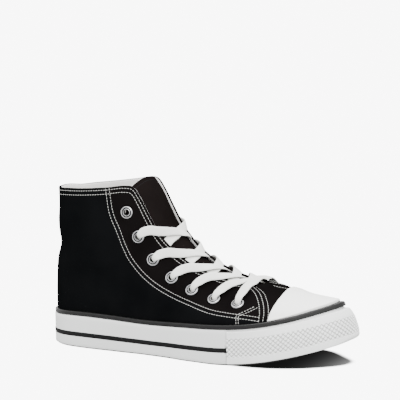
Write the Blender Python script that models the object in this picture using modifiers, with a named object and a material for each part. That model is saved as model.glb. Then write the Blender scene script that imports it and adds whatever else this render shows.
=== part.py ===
"""A canvas high top sneaker for the right foot: a rubber cup of outsole, side band, stripes and toe
bumper under a hollow canvas upper with tongue, insole, toe cap, fourteen eyelets and a flat lace.

Metres, +Z up, +X towards the toe, +Y towards the inner side of the foot. The origin is on the floor
under the middle of the shoe's length and width.
"""

import math

import bmesh
import bpy
import numpy as np
from mathutils import Vector

# Driving sizes of the whole shoe
LENGTH = 0.275
BALL_WIDTH = 0.103
COLLAR_HEIGHT = 0.138
TOE_SPRING = 0.0198
SPRING_START = 0.59
SPRING_CURVE = 1.73
ARCH_RISE = 0.0004
ARCH_START = (0.28, 0.36)
ARCH_END = (0.44, 0.52)
CLEARANCE = 0.0003

# Sole
OUTSOLE_RIM = 0.0019
OUTSOLE_CORE = 0.006
OUTSOLE_SET_BACK = 0.0009
SIDE_THICKNESS = 0.0026
SOFT_EDGE = 0.0005
SIDE_HEIGHT = 0.0255
TOE_RAKE = 0.012
RAKE_START = 0.66
RAKE_BOW = 2.0
STRAIGHT = 1.0
TOP_STRIPE_HEIGHT = 0.0038
TOP_STRIPE_SET_BACK = 0.0003
MID_STRIPE_HEIGHT = 0.003
MID_STRIPE_PLACE = 0.43
GROOVE_DEPTH = 0.0009
STRIPE_PROUD = 0.0003
BUMPER_START = 0.665
BUMPER_THICKNESS = 0.0014
BUMPER_PROUD = 0.0004
BUMPER_MARGIN = 0.0015
INSOLE_THICKNESS = 0.005

# Upper
WALL = 0.0021
OVERLAY = 0.0007
OVERLAY_FADE = (0.01, 0.08)
HEEL_STAY_WIDTH = 0.026
ANKLE_DENT = 0.0036
DENT_PLACE = 0.64
DENT_SPREAD = 0.055
DENT_FADE = (0.05, 0.22)
QUARTER_FRONT = 0.775
CAP_START = 0.783
CAP_THICKNESS = 0.0014

# Tongue
TONGUE_THICKNESS = 0.0024
TONGUE_GAP = 0.0016
TONGUE_CROWN = 0.10
TONGUE_SIDE = 0.011
TONGUE_RISE = 0.002
TONGUE_TUCK = 0.009

# Eyelets and lace
EYELET_RADIUS = 0.0053
EYELET_HOLE = 0.0024
BARREL_RADIUS = 0.0029
HOLE_CUT = 0.0126
FLANGE_HEIGHT = 0.0009
FLANGE_ROLL = 0.0003
EYELET_SEAT = 0.0008
LACE_WIDTH = 0.0072
LACE_THICKNESS = 0.0013
LACE_REST = 0.0014
LACE_BOW = 0.0015
LACE_FLAT = 0.8
EDGE_ROW = 0.5
CROWN_ROW = 0.85
FAR_ROW = 1.08
FAR_REACH = 0.16

# How finely the curved pieces are divided
STATIONS = 58
COLUMN_STEPS = 11
CAP_STEPS = 9
RING_STEPS = 9
HOLE_STEPS = 8
STEP_RUN = 0.0015
NEAR_STEP = 0.012
LACE_STEPS = 8
SHARP_ANGLE = 40

# Outline of the sole: place along the length, outer side and inner side, as shares of the ball width
OUTLINE = (
    # along, outer side, inner side
    (0.000, 0.000, 0.000),
    (0.018, -0.190, 0.190),
    (0.070, -0.305, 0.290),
    (0.160, -0.352, 0.325),
    (0.280, -0.372, 0.328),
    (0.420, -0.415, 0.355),
    (0.550, -0.462, 0.430),
    (0.670, -0.500, 0.495),
    (0.770, -0.488, 0.485),
    (0.870, -0.395, 0.415),
    (0.950, -0.235, 0.240),
    (0.993, -0.078, 0.105),
    (1.000, 0.015, 0.015),
)

# Top of the white side band above the floor, as shares of its height at the heel
BAND_TOP = (
    # along, height
    (0.00, 1.00),
    (0.10, 1.05),
    (0.17, 1.065),
    (0.26, 1.045),
    (0.36, 1.02),
    (0.50, 1.07),
    (0.60, 1.12),
    (0.70, 1.215),
    (0.80, 1.36),
    (0.90, 1.565),
    (1.00, 1.815),
)

# Columns of the upper from the side band to its top edge. Lengths are shares of the shoe's length,
# widths of the ball width and heights of the collar height. Low and high are the curve's handles.
COLUMNS = (
    # along, top x, top y, top z, low x, low y, low z, high x, high y, high z
    (0.000, 0.023, 0.000, 0.963, -0.004, 0.000, 0.225, 0.010, 0.000, -0.240),
    (0.020, 0.034, 0.140, 0.964, -0.003, 0.010, 0.225, 0.008, 0.010, -0.240),
    (0.070, 0.075, 0.238, 0.967, -0.004, 0.018, 0.218, 0.002, 0.022, -0.240),
    (0.120, 0.153, 0.268, 0.974, 0.000, 0.020, 0.210, -0.012, 0.024, -0.240),
    (0.170, 0.233, 0.262, 0.987, 0.008, 0.018, 0.210, -0.024, 0.022, -0.240),
    (0.205, 0.287, 0.243, 1.000, 0.015, 0.014, 0.205, -0.032, 0.022, -0.235),
    (0.225, 0.309, 0.223, 0.992, 0.018, 0.012, 0.200, -0.036, 0.026, -0.215),
    (0.250, 0.331, 0.221, 0.935, 0.018, 0.012, 0.185, -0.040, 0.035, -0.180),
    (0.280, 0.359, 0.218, 0.839, 0.017, 0.013, 0.170, -0.046, 0.055, -0.145),
    (0.315, 0.391, 0.213, 0.734, 0.014, 0.016, 0.155, -0.050, 0.085, -0.115),
    (0.365, 0.435, 0.200, 0.635, 0.010, 0.018, 0.140, -0.052, 0.115, -0.095),
    (0.440, 0.497, 0.180, 0.543, 0.006, 0.020, 0.120, -0.045, 0.140, -0.075),
    (0.530, 0.567, 0.157, 0.483, 0.002, 0.018, 0.100, -0.030, 0.155, -0.060),
    (0.620, 0.632, 0.138, 0.448, -0.002, 0.012, 0.080, -0.012, 0.150, -0.056),
    (0.700, 0.670, 0.117, 0.447, -0.006, 0.006, 0.066, 0.010, 0.146, -0.046),
    (0.790, 0.692, 0.083, 0.458, -0.010, 0.000, 0.048, 0.042, 0.122, -0.055),
    (0.900, 0.705, 0.044, 0.463, -0.022, -0.010, 0.026, 0.080, 0.060, -0.074),
    (1.000, 0.710, 0.000, 0.464, -0.034, 0.000, 0.008, 0.090, 0.000, -0.084),
)

# Eyelets of one side from the top: the column they sit on, and how far below its edge
EYELETS = (
    # along, below edge
    (0.230, 0.0208),
    (0.284, 0.0199),
    (0.346, 0.0181),
    (0.424, 0.0193),
    (0.507, 0.0215),
    (0.593, 0.0239),
    (0.690, 0.0278),
)

# Columns whose edges the tongue follows, from the collar to the vamp
TONGUE_COLUMNS = (0.225, 0.25, 0.28, 0.315, 0.35, 0.39, 0.44, 0.49, 0.54, 0.59, 0.64, 0.68)
TUCK_COLUMNS = (0.72, 0.80, 0.90, 1.00)

MIDDLE = np.array([LENGTH / 2, 0.0, 0.0])
SIZES = np.array([LENGTH, BALL_WIDTH, COLLAR_HEIGHT])
BUMPER_SEAT = BUMPER_THICKNESS + CLEARANCE


def to_turn(along):
    """Turns a share of the length into a share of the half turn from heel to toe."""
    return np.arccos(np.clip(1 - 2 * np.asarray(along, float), -1, 1)) / math.pi


def turned(rows):
    return np.array([(to_turn(row[0]), *row[1:]) for row in rows])


OUTLINE_TURNED = turned(OUTLINE)
COLUMNS_TURNED = turned(COLUMNS)
BUMPER_TURN = float(to_turn(BUMPER_START))
QUARTER_TURN = float(to_turn(QUARTER_FRONT))


def smooth(rows, at):
    """Reads a table's later columns at places along its first, on one smooth curve through its rows."""
    table = np.array(rows, float)
    keys, values = table[:, 0], table[:, 1:]
    at = np.asarray(at, float)
    slopes = np.gradient(values, keys, axis=0)
    row = np.clip(np.searchsorted(keys, at, side="right") - 1, 0, len(keys) - 2)
    span = keys[row + 1] - keys[row]
    t = np.clip((at - keys[row]) / span, 0, 1)[..., None]
    span = span[..., None]
    return (
        (1 + 2 * t) * (1 - t) ** 2 * values[row]
        + t * (1 - t) ** 2 * span * slopes[row]
        + t**2 * (3 - 2 * t) * values[row + 1]
        + t**2 * (t - 1) * span * slopes[row + 1]
    )


def ramp(value, low, high):
    t = np.clip((np.asarray(value) - low) / (high - low), 0, 1)
    return t * t * (3 - 2 * t)


def half_turn(station):
    """A station is 0 at the heel, 1 at the toe along the outer side, and 2 at the heel again."""
    station = np.mod(np.asarray(station, float), 2)
    inner = station > 1
    return np.where(inner, 2 - station, station), np.where(inner, 1.0, -1.0)


def outline(station):
    turn, side = half_turn(station)
    x = LENGTH * (1 - np.cos(math.pi * turn)) / 2
    y = smooth(OUTLINE_TURNED, turn)
    return np.stack([x, BALL_WIDTH * np.where(side > 0, y[..., 1], y[..., 0])], axis=-1)


def outward(station):
    """The outline's outward direction in plan."""
    step = 1e-3
    station = np.asarray(station, float)
    along = outline(station + step) - outline(station - step)
    normal = np.stack([along[..., 1], -along[..., 0]], axis=-1)
    return normal / np.linalg.norm(normal, axis=-1, keepdims=True)


def sole_under(x):
    """Height of the underside: flat at heel and ball, a low arch between, and the toe spring."""
    share = x / LENGTH
    spring = np.clip((share - SPRING_START) / (1 - SPRING_START), 0, 1) ** SPRING_CURVE
    arch = ramp(share, *ARCH_START) * (1 - ramp(share, *ARCH_END))
    return TOE_SPRING * spring + ARCH_RISE * arch


def band_height(station):
    x = outline(station)[..., 0]
    return SIDE_HEIGHT * smooth(BAND_TOP, x / LENGTH)[..., 0] - sole_under(x)


def at_rise(station, rise, inset, bow=RAKE_BOW):
    """A point of the sole's side at a height in metres above the underside, measured inwards from
    the outer face, which leans back at the toe in a bow, or straight inside the shoe."""
    flat = outline(station)
    rake = TOE_RAKE * ramp(flat[..., 0] / LENGTH, RAKE_START, 1.0)
    level = rise / band_height(station)
    lean = np.where(level < 1, level**bow, level)
    inward = rake * lean + inset
    z = sole_under(flat[..., 0]) + rise
    return np.concatenate([flat - outward(station) * inward[..., None], z[..., None]], axis=-1)


def above_band(station, rise, inset):
    return at_rise(station, band_height(station) + rise, inset)


def skin(station, share):
    """The upper's plain outer skin: share is 0 at the top stripe and 1 at the top edge."""
    turn, side = half_turn(station)
    row = smooth(COLUMNS_TURNED, turn)
    scale = SIZES * np.stack([np.ones_like(side), side, np.ones_like(side)], axis=-1)
    foot = above_band(station, TOP_STRIPE_HEIGHT, SIDE_THICKNESS + CLEARANCE)
    top = row[..., 0:3] * scale
    low = foot + row[..., 3:6] * scale
    high = top + row[..., 6:9] * scale
    t = np.asarray(share, float)[..., None]
    point = (1 - t) ** 3 * foot + 3 * t * (1 - t) ** 2 * low + 3 * t**2 * (1 - t) * high + t**3 * top
    level = point[..., 2] / COLLAR_HEIGHT
    dent = np.exp(-(((level - DENT_PLACE) / DENT_SPREAD) ** 2)) * (1 - ramp(turn, *DENT_FADE))
    point[..., 0] += ANKLE_DENT * dent
    return point


def skin_normal(station, share):
    step = 1e-3
    station, share = np.asarray(station, float), np.asarray(share, float)
    across = skin(station + step, share) - skin(station - step, share)
    up = skin(station, np.minimum(share + step, 1)) - skin(station, np.maximum(share - step, 0))
    normal = np.cross(across, up)
    return normal / np.linalg.norm(normal, axis=-1, keepdims=True)


def stay_turn():
    """The half turn at which the heel stay's edge runs."""
    turns = np.linspace(0, 0.3, 200)
    return float(np.interp(HEEL_STAY_WIDTH / 2, -outline(turns)[:, 1], turns))


STAY_TURN = stay_turn()


def raised(station, share):
    """How far the quarters and the heel stay stand above the vamp."""
    turn = half_turn(station)[0]
    layers = (turn < QUARTER_TURN) * 1.0 + (turn < STAY_TURN) * 1.0
    return OVERLAY * layers * ramp(share, *OVERLAY_FADE)


def upper_point(station, share, depth):
    """A point in the upper, its depth measured inwards from the skin."""
    return skin(station, share) - skin_normal(station, share) * np.asarray(depth)[..., None]


def share_below_edge(station, distance):
    """The share at which a column is a distance below its top edge, measured along it."""
    shares = np.linspace(1, 0, 200)
    points = skin(np.full(200, float(station)), shares)
    run = np.concatenate([[0], np.cumsum(np.linalg.norm(np.diff(points, axis=0), axis=1))])
    return float(np.interp(distance, run, shares))


def inside_upper(along, side, below, depth):
    """A point under one column: side is 1 for the outer side and -1 for the inner one."""
    turn = float(to_turn(along))
    station = turn if side == 1 else 2 - turn
    share = share_below_edge(station, below)
    return upper_point(np.array([station]), np.array([share]), np.array([depth]))[0]


def collection(name):
    made = bpy.data.collections.new(name)
    bpy.context.scene.collection.children.link(made)
    return made


def material(name, colour, roughness, metallic=0.0):
    made = bpy.data.materials.new(name)
    made.use_nodes = True
    shader = made.node_tree.nodes["Principled BSDF"]
    shader.inputs["Base Color"].default_value = (*colour, 1.0)
    shader.inputs["Roughness"].default_value = roughness
    shader.inputs["Metallic"].default_value = metallic
    return made


def add_object(name, mesh, finish):
    made = bpy.data.objects.new(name, mesh)
    bpy.data.collections["high_top_sneaker"].objects.link(made)
    mesh.materials.append(finish)
    mesh.shade_smooth()
    mesh.set_sharp_from_angle(angle=math.radians(SHARP_ANGLE))
    return made


def finish_mesh(name, form, finish):
    bmesh.ops.recalc_face_normals(form, faces=form.faces)
    mesh = bpy.data.meshes.new(name)
    form.to_mesh(mesh)
    form.free()
    return add_object(name, mesh, finish)


def split_face(form, corners):
    """Two triangles from four corners, cut along the diagonal that climbs towards the toe on both
    sides of the shoe, so that pieces lying against each other turn alike."""
    a, b, c, d = corners
    rising = b.co.z + c.co.z > a.co.z + d.co.z
    inner = a.co.y + b.co.y + c.co.y + d.co.y > 0
    if rising != inner:
        form.faces.new((a, b, c))
        form.faces.new((a, c, d))
    else:
        form.faces.new((a, b, d))
        form.faces.new((b, c, d))


def loft(name, sections, finish, closed):
    """Joins closed sections of equal size. Where the run isn't closed, both ends get a cap."""
    grid = np.asarray(sections) - MIDDLE
    around = grid.shape[1]
    form = bmesh.new()
    points = [[form.verts.new(point) for point in section] for section in grid]
    pairs = list(zip(points, points[1:]))
    if closed:
        pairs.append((points[-1], points[0]))
    for here, there in pairs:
        for j in range(around):
            k = (j + 1) % around
            split_face(form, (here[j], here[k], there[k], there[j]))
    if not closed:
        for end in (points[0], points[-1]):
            for j in range(around // 2):
                k = around - 1 - j
                if k > j + 1:
                    form.faces.new((end[j], end[j + 1], end[k]))
                if k > j + 2:
                    form.faces.new((end[j + 1], end[k - 1], end[k]))
    return finish_mesh(name, form, finish)


def plate(name, rings, finish):
    """A solid from rings round the shoe, lowest first, whose faces below and above span it across."""
    grid = np.asarray(rings) - MIDDLE
    count = grid.shape[1]
    form = bmesh.new()
    points = [[form.verts.new(point) for point in ring] for ring in grid]
    for low, high in zip(points, points[1:]):
        for j in range(count):
            k = (j + 1) % count
            split_face(form, (low[j], high[j], high[k], low[k]))
    for ring in (points[0], points[-1]):
        form.faces.new((ring[0], ring[1], ring[-1]))
        for j in range(1, count // 2 - 1):
            form.faces.new((ring[j], ring[j + 1], ring[-j - 1], ring[-j]))
        form.faces.new((ring[count // 2 - 1], ring[count // 2], ring[count // 2 + 1]))
    return finish_mesh(name, form, finish)


def realised(piece):
    """Gives the piece the mesh that its modifiers make."""
    bpy.context.view_layer.update()
    graph = bpy.context.evaluated_depsgraph_get()
    made = bpy.data.meshes.new_from_object(piece.evaluated_get(graph))
    piece.modifiers.clear()
    piece.data = made
    return piece


def ring_stations():
    """Even stations round the shoe, with a close pair on both sides wherever a form steps."""
    steps = (STAY_TURN, BUMPER_TURN, QUARTER_TURN)
    pairs = [turn + shift for turn in steps for shift in (-STEP_RUN, STEP_RUN)]
    sharp = np.array(pairs + [2 - turn for turn in pairs])
    even = np.linspace(0, 2, STATIONS, endpoint=False)
    even = even[np.abs(even[:, None] - sharp).min(axis=1) > NEAR_STEP]
    return np.sort(np.concatenate([even, sharp]))


def stations_between(start, end):
    """Stations from one place round to another, on the same division as the whole rings."""
    ring = np.concatenate([ring_stations(), ring_stations() + 2])
    inside = ring[(ring > start + STEP_RUN / 2) & (ring < end - STEP_RUN / 2)]
    return np.concatenate([[start], inside, [end]])


def make_outsole(finish):
    ring = ring_stations()
    inner = SIDE_THICKNESS + CLEARANCE
    rings = [
        at_rise(ring, 0.0, OUTSOLE_SET_BACK + SOFT_EDGE),
        at_rise(ring, SOFT_EDGE, OUTSOLE_SET_BACK),
        at_rise(ring, OUTSOLE_RIM, OUTSOLE_SET_BACK),
        at_rise(ring, OUTSOLE_RIM, inner, STRAIGHT),
        at_rise(ring, OUTSOLE_CORE, inner, STRAIGHT),
    ]
    return plate("outsole", rings, finish)


def make_insole(finish):
    ring = ring_stations()
    inset = SIDE_THICKNESS + WALL + 3 * CLEARANCE
    low = OUTSOLE_CORE + CLEARANCE
    rings = [at_rise(ring, rise, inset, STRAIGHT) for rise in (low, low + INSOLE_THICKNESS)]
    return plate("insole", rings, finish)


def make_side_band(finish):
    """The white band, with a groove for the stripe behind and a seat for the bumper in front."""
    ring = ring_stations()
    height = band_height(ring)
    low = OUTSOLE_RIM + CLEARANCE
    front = half_turn(ring)[0] > BUMPER_TURN
    seat = np.where(front, BUMPER_SEAT, 0.0)
    groove = seat + np.where(front, SOFT_EDGE / 2, GROOVE_DEPTH)
    middle = MID_STRIPE_PLACE * height
    half = MID_STRIPE_HEIGHT / 2 + CLEARANCE
    section = [
        at_rise(ring, low, seat + SOFT_EDGE),
        at_rise(ring, low + SOFT_EDGE, seat),
        at_rise(ring, middle - half, seat),
        at_rise(ring, middle - half, groove),
        at_rise(ring, middle + half, groove),
        at_rise(ring, middle + half, seat),
        at_rise(ring, height - SOFT_EDGE, seat),
        at_rise(ring, height, seat + SOFT_EDGE),
        at_rise(ring, height, SIDE_THICKNESS),
        at_rise(ring, low, SIDE_THICKNESS),
    ]
    return loft("side_band", np.stack(section, axis=1), finish, closed=True)


def make_mid_stripe(finish):
    ring = stations_between(2 - BUMPER_TURN + 2 * STEP_RUN, 2 + BUMPER_TURN - 2 * STEP_RUN)
    middle = MID_STRIPE_PLACE * band_height(ring)
    half = MID_STRIPE_HEIGHT / 2
    inner = GROOVE_DEPTH - CLEARANCE
    section = [
        at_rise(ring, middle - half, inner),
        at_rise(ring, middle - half, -STRIPE_PROUD / 2),
        at_rise(ring, middle, -STRIPE_PROUD),
        at_rise(ring, middle + half, -STRIPE_PROUD / 2),
        at_rise(ring, middle + half, inner),
    ]
    return loft("mid_stripe", np.stack(section, axis=1), finish, closed=False)


def make_top_stripe(finish):
    ring = ring_stations()
    outer = TOP_STRIPE_SET_BACK
    section = [
        above_band(ring, CLEARANCE, outer),
        above_band(ring, TOP_STRIPE_HEIGHT - SOFT_EDGE, outer),
        above_band(ring, TOP_STRIPE_HEIGHT, outer + SOFT_EDGE),
        above_band(ring, TOP_STRIPE_HEIGHT, SIDE_THICKNESS),
        above_band(ring, CLEARANCE, SIDE_THICKNESS),
    ]
    return loft("top_stripe", np.stack(section, axis=1), finish, closed=True)


def make_toe_bumper(finish):
    ring = stations_between(BUMPER_TURN + 2 * STEP_RUN, 2 - BUMPER_TURN - 2 * STEP_RUN)
    low = OUTSOLE_RIM + CLEARANCE
    top = band_height(ring) - BUMPER_MARGIN
    outer = -BUMPER_PROUD
    middle = MID_STRIPE_PLACE * band_height(ring)
    half = MID_STRIPE_HEIGHT / 2 + CLEARANCE
    section = [
        at_rise(ring, low, BUMPER_THICKNESS),
        at_rise(ring, low, outer + SOFT_EDGE),
        at_rise(ring, low + SOFT_EDGE, outer),
        at_rise(ring, top - SOFT_EDGE, outer),
        at_rise(ring, top, outer + SOFT_EDGE),
        at_rise(ring, top, BUMPER_THICKNESS),
        at_rise(ring, middle + half, BUMPER_THICKNESS),
        at_rise(ring, middle - half, BUMPER_THICKNESS),
    ]
    return loft("toe_bumper", np.stack(section, axis=1), finish, closed=False)


def make_upper(finish, cutters):
    """One hollow wall round the foot, open at the collar, the throat and underneath."""
    ring = ring_stations()
    inset = SIDE_THICKNESS + CLEARANCE
    low = OUTSOLE_CORE + CLEARANCE
    shares = [np.full(len(ring), share) for share in np.linspace(0, 1, COLUMN_STEPS)]
    outer = [upper_point(ring, share, -raised(ring, share)) for share in shares]
    inner = [upper_point(ring, share, np.full(len(ring), WALL)) for share in shares[::-1]]
    foot = [at_rise(ring, low, depth, STRAIGHT) for depth in (inset, inset + WALL)]
    section = [foot[0], *outer, *inner, foot[1]]
    upper = loft("upper", np.stack(section, axis=1), finish, closed=True)
    for name, point, normal in eyelet_places():
        bpy.ops.mesh.primitive_cylinder_add(
            vertices=HOLE_STEPS,
            radius=BARREL_RADIUS + CLEARANCE,
            depth=HOLE_CUT,
            location=point - MIDDLE,
            rotation=facing(normal).to_euler(),
        )
        cutter = bpy.context.object
        cutter.name = f"{name}_cutter"
        cutter.display_type = "WIRE"
        cutter.hide_render = True
        for holder in list(cutter.users_collection):
            holder.objects.unlink(cutter)
        cutters.objects.link(cutter)
        cut = upper.modifiers.new(cutter.name, "BOOLEAN")
        cut.operation = "DIFFERENCE"
        cut.object = cutter
    return upper


def facing(normal):
    return Vector(normal).to_track_quat("Z", "Y")


def seat_normal(station, below):
    """The outward direction of the skin on average over an eyelet's flange."""
    level = share_below_edge(station, below)
    near = skin(np.array([station - STEP_RUN, station + STEP_RUN]), np.full(2, level))
    reach = 2 * STEP_RUN * EYELET_RADIUS / np.linalg.norm(near[1] - near[0])
    across = skin(np.array([station - reach, station + reach]), np.full(2, level))
    levels = [share_below_edge(station, below + shift) for shift in (EYELET_RADIUS, -EYELET_RADIUS)]
    up = skin(np.full(2, station), np.array(levels))
    normal = np.cross(across[1] - across[0], up[1] - up[0])
    return normal / np.linalg.norm(normal)


def eyelet_places():
    """Names, centres on the outer face and outward normals, each row from the top down."""
    found = []
    for side, word in ((1, "outer"), (-1, "inner")):
        for row, (along, below) in enumerate(EYELETS):
            turn = float(to_turn(along))
            station = turn if side == 1 else 2 - turn
            level = np.array([share_below_edge(station, below)])
            place = np.array([station])
            point = upper_point(place, level, -raised(place, level))[0]
            found.append((f"eyelet_{word}_{row + 1}", point, seat_normal(station, below)))
    return found


def make_eyelets(finish):
    """Turned rings: a rolled flange outside, and a barrel through the wall."""
    base, top = EYELET_SEAT, EYELET_SEAT + FLANGE_HEIGHT
    profile = (
        (EYELET_HOLE, -WALL),
        (EYELET_HOLE + FLANGE_ROLL, top),
        (EYELET_RADIUS - FLANGE_HEIGHT, top),
        (EYELET_RADIUS, base + FLANGE_ROLL),
        (EYELET_RADIUS, base),
        (BARREL_RADIUS, base),
        (BARREL_RADIUS, -WALL),
    )
    mesh = bpy.data.meshes.new("eyelet")
    count = len(profile)
    edges = [(j, (j + 1) % count) for j in range(count)]
    mesh.from_pydata([(radius, 0, height) for radius, height in profile], edges, [])
    turned_ring = None
    for name, point, normal in eyelet_places():
        if turned_ring is None:
            ring = add_object(name, mesh, finish)
            screw = ring.modifiers.new("turn", "SCREW")
            screw.steps = screw.render_steps = RING_STEPS
            screw.use_merge_vertices = False
            screw.use_smooth_shade = True
            turned_ring = realised(ring).data
        else:
            ring = bpy.data.objects.new(name, turned_ring)
            bpy.data.collections["high_top_sneaker"].objects.link(ring)
        ring.location = point - MIDDLE
        ring.rotation_mode = "QUATERNION"
        ring.rotation_quaternion = facing(normal)


def make_toe_cap(finish):
    """A rubber shell over the front of the upper, cut straight across behind."""
    start = QUARTER_TURN + 2 * STEP_RUN
    ring = stations_between(start, 2 - start)
    shares = np.linspace(0, 1, COLUMN_STEPS)[:CAP_STEPS]
    form = bmesh.new()
    grid = []
    for share in shares:
        level = np.full(len(ring), share)
        lift = -CLEARANCE * (1 + (share < 0.01))
        row = upper_point(ring, level, np.full(len(ring), lift))
        if share == 0:
            row = above_band(ring, TOP_STRIPE_HEIGHT + CLEARANCE, SIDE_THICKNESS)
        grid.append([form.verts.new(point - MIDDLE) for point in row])
    for low, high in zip(grid, grid[1:]):
        for j in range(len(ring) - 1):
            split_face(form, (low[j], high[j], high[j + 1], low[j + 1]))
    cut = (LENGTH * CAP_START - MIDDLE[0], 0, 0)
    every = form.verts[:] + form.edges[:] + form.faces[:]
    bmesh.ops.bisect_plane(form, geom=every, plane_co=cut, plane_no=(1, 0, 0), clear_inner=True)
    cap = finish_mesh("toe_cap", form, finish)
    wall = cap.modifiers.new("wall", "SOLIDIFY")
    wall.thickness = CAP_THICKNESS
    wall.offset = 1
    wall.use_even_offset = True
    return cap


def tongue_section(along):
    """Seven points of the tongue's outer face under one pair of columns, the outer side first."""
    depth = WALL + TONGUE_GAP
    drops = (TONGUE_SIDE, TONGUE_SIDE / 2, 0)
    outer = [inside_upper(along, 1, drop, depth) for drop in drops]
    inner = [inside_upper(along, -1, drop, depth) for drop in drops[::-1]]
    up = outer[-1] + inner[0] - outer[0] - inner[-1]
    span = np.linalg.norm(inner[0] - outer[-1])
    crown = (outer[-1] + inner[0]) / 2 + up / np.linalg.norm(up) * TONGUE_CROWN * span
    return np.array([*outer, crown, *inner])


def tongue_face():
    rows = [tongue_section(along) for along in TONGUE_COLUMNS]
    rise = rows[0] - rows[1]
    rows.insert(0, rows[0] + rise / np.linalg.norm(rise, axis=1, keepdims=True) * TONGUE_RISE)
    tuck = [inside_upper(along, 1, TONGUE_TUCK, WALL + TONGUE_GAP) for along in TUCK_COLUMNS]
    mirrored = [inside_upper(along, -1, TONGUE_TUCK, WALL + TONGUE_GAP) for along in TUCK_COLUMNS[:-1]]
    rows.append(np.array(tuck + mirrored[::-1]))
    keys = np.arange(len(rows[0]))
    fine = np.linspace(0, keys[-1], 2 * len(keys) - 1)
    return np.stack([smooth(np.column_stack([keys, row]), fine) for row in rows])


def make_tongue(finish):
    face = tongue_face()
    along = np.gradient(face, axis=0)
    across = np.gradient(face, axis=1)
    normal = np.cross(across, along)
    normal /= np.linalg.norm(normal, axis=-1, keepdims=True)
    normal *= np.sign(normal[..., 2:3].mean())
    inner = face - normal * TONGUE_THICKNESS
    sections = np.concatenate([face, inner[:, ::-1]], axis=1)
    return loft("tongue", sections, finish, closed=False)


def lace_strand(name, route, finish):
    """A flat strand along a route of points and the directions it faces there."""
    places = np.array([place for place, _ in route])
    facings = np.array([direction for _, direction in route])
    run = np.concatenate([[0], np.cumsum(np.linalg.norm(np.diff(places, axis=0), axis=1))])
    at = np.linspace(0, run[-1], LACE_STEPS)
    line = smooth(np.column_stack([run, places]), at)
    up = smooth(np.column_stack([run, facings]), at)
    forward = np.gradient(line, axis=0)
    side = np.cross(up, forward)
    side /= np.linalg.norm(side, axis=1, keepdims=True)
    up = np.cross(forward, side)
    up /= np.linalg.norm(up, axis=1, keepdims=True)
    half, thick = LACE_WIDTH / 2, LACE_THICKNESS / 2
    flat = LACE_FLAT * half
    corners = ((-half, 0), (-flat, thick), (flat, thick), (half, 0), (flat, -thick), (-flat, -thick))
    sections = [line + side * across + up * rise for across, rise in corners]
    return loft(name, np.stack(sections, axis=1), finish, closed=False)


def over_quarter(along, side, below, lift):
    """A place for the lace's middle above the quarter, and the direction it faces."""
    turn = float(to_turn(along))
    station = np.array([turn if side == 1 else 2 - turn])
    level = np.array([share_below_edge(station[0], below)])
    normal = skin_normal(station, level)[0]
    point = upper_point(station, level, -raised(station, level))[0]
    return point + normal * (lift + LACE_THICKNESS / 2), normal


def over_tongue(along, across, lift):
    """A place above the tongue: across is -1 at its outer edge, 0 at its crown and 1 inside."""
    section = tongue_section(along)
    keys = np.arange(-3, 4)
    spot = smooth(np.column_stack([keys, section]), np.array([across * 3 - 0.1, across * 3 + 0.1]))
    ahead = tongue_section(along + 0.01)[3] - section[3]
    normal = np.cross(ahead, spot[1] - spot[0])
    normal *= np.sign(normal[2]) / np.linalg.norm(normal)
    return spot.mean(axis=0) + normal * (lift + LACE_THICKNESS / 2), normal


def row_column(row):
    """The column at a row of the eyelets or between two, going on evenly past the lowest."""
    columns = [along for along, _ in EYELETS]
    columns.append(2 * columns[-1] - columns[-2])
    return float(np.interp(row, np.arange(len(columns)), columns))


def strand_route(row, side, lift):
    """From above an eyelet over the throat's edge, across the tongue, to beside the other edge."""
    on_flange = EYELET_SEAT + FLANGE_HEIGHT + 2 * CLEARANCE
    below = EYELETS[row][1]
    return [
        over_quarter(EYELETS[row][0], side, below, on_flange),
        over_quarter(row_column(row + EDGE_ROW / 2), side, below / 2, on_flange),
        over_quarter(row_column(row + EDGE_ROW), side, 0.0, LACE_REST),
        over_tongue(row_column(row + CROWN_ROW), 0.0, lift),
        over_tongue(row_column(row + FAR_ROW), FAR_REACH * side, LACE_REST),
    ]


def make_lace(finish):
    """A bar across the lowest eyelets, and a crossing of two joined strands above each other pair
    but the top one. The strand of the outer side lies on top."""
    low, high = LACE_REST, LACE_REST + LACE_THICKNESS - CLEARANCE
    for row in range(1, len(EYELETS) - 1):
        cross = lace_strand(f"lace_crossing_{row}", strand_route(row, 1, high), finish)
        under = lace_strand(f"lace_under_{row}", strand_route(row, -1, low), finish)
        join = cross.modifiers.new("join", "BOOLEAN")
        join.operation = "UNION"
        join.object = under
        realised(cross)
        bpy.data.objects.remove(under)
    last = len(EYELETS) - 1
    along, below = EYELETS[last]
    on_flange = EYELET_SEAT + FLANGE_HEIGHT + 2 * CLEARANCE
    half = [
        over_quarter(along, 1, below, on_flange),
        over_quarter(row_column(last + EDGE_ROW / 2), 1, below / 2, on_flange),
        over_quarter(row_column(last + EDGE_ROW), 1, 0.0, LACE_REST),
    ]
    other = [(place * (1, -1, 1), facing_to * (1, -1, 1)) for place, facing_to in half[::-1]]
    middle = (half[-1][0] * (1, 0, 1) + (0, 0, LACE_BOW), np.array([0.2, 0.0, 1.0]))
    lace_strand("lace_bar", [*half, middle, *other], finish)


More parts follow.
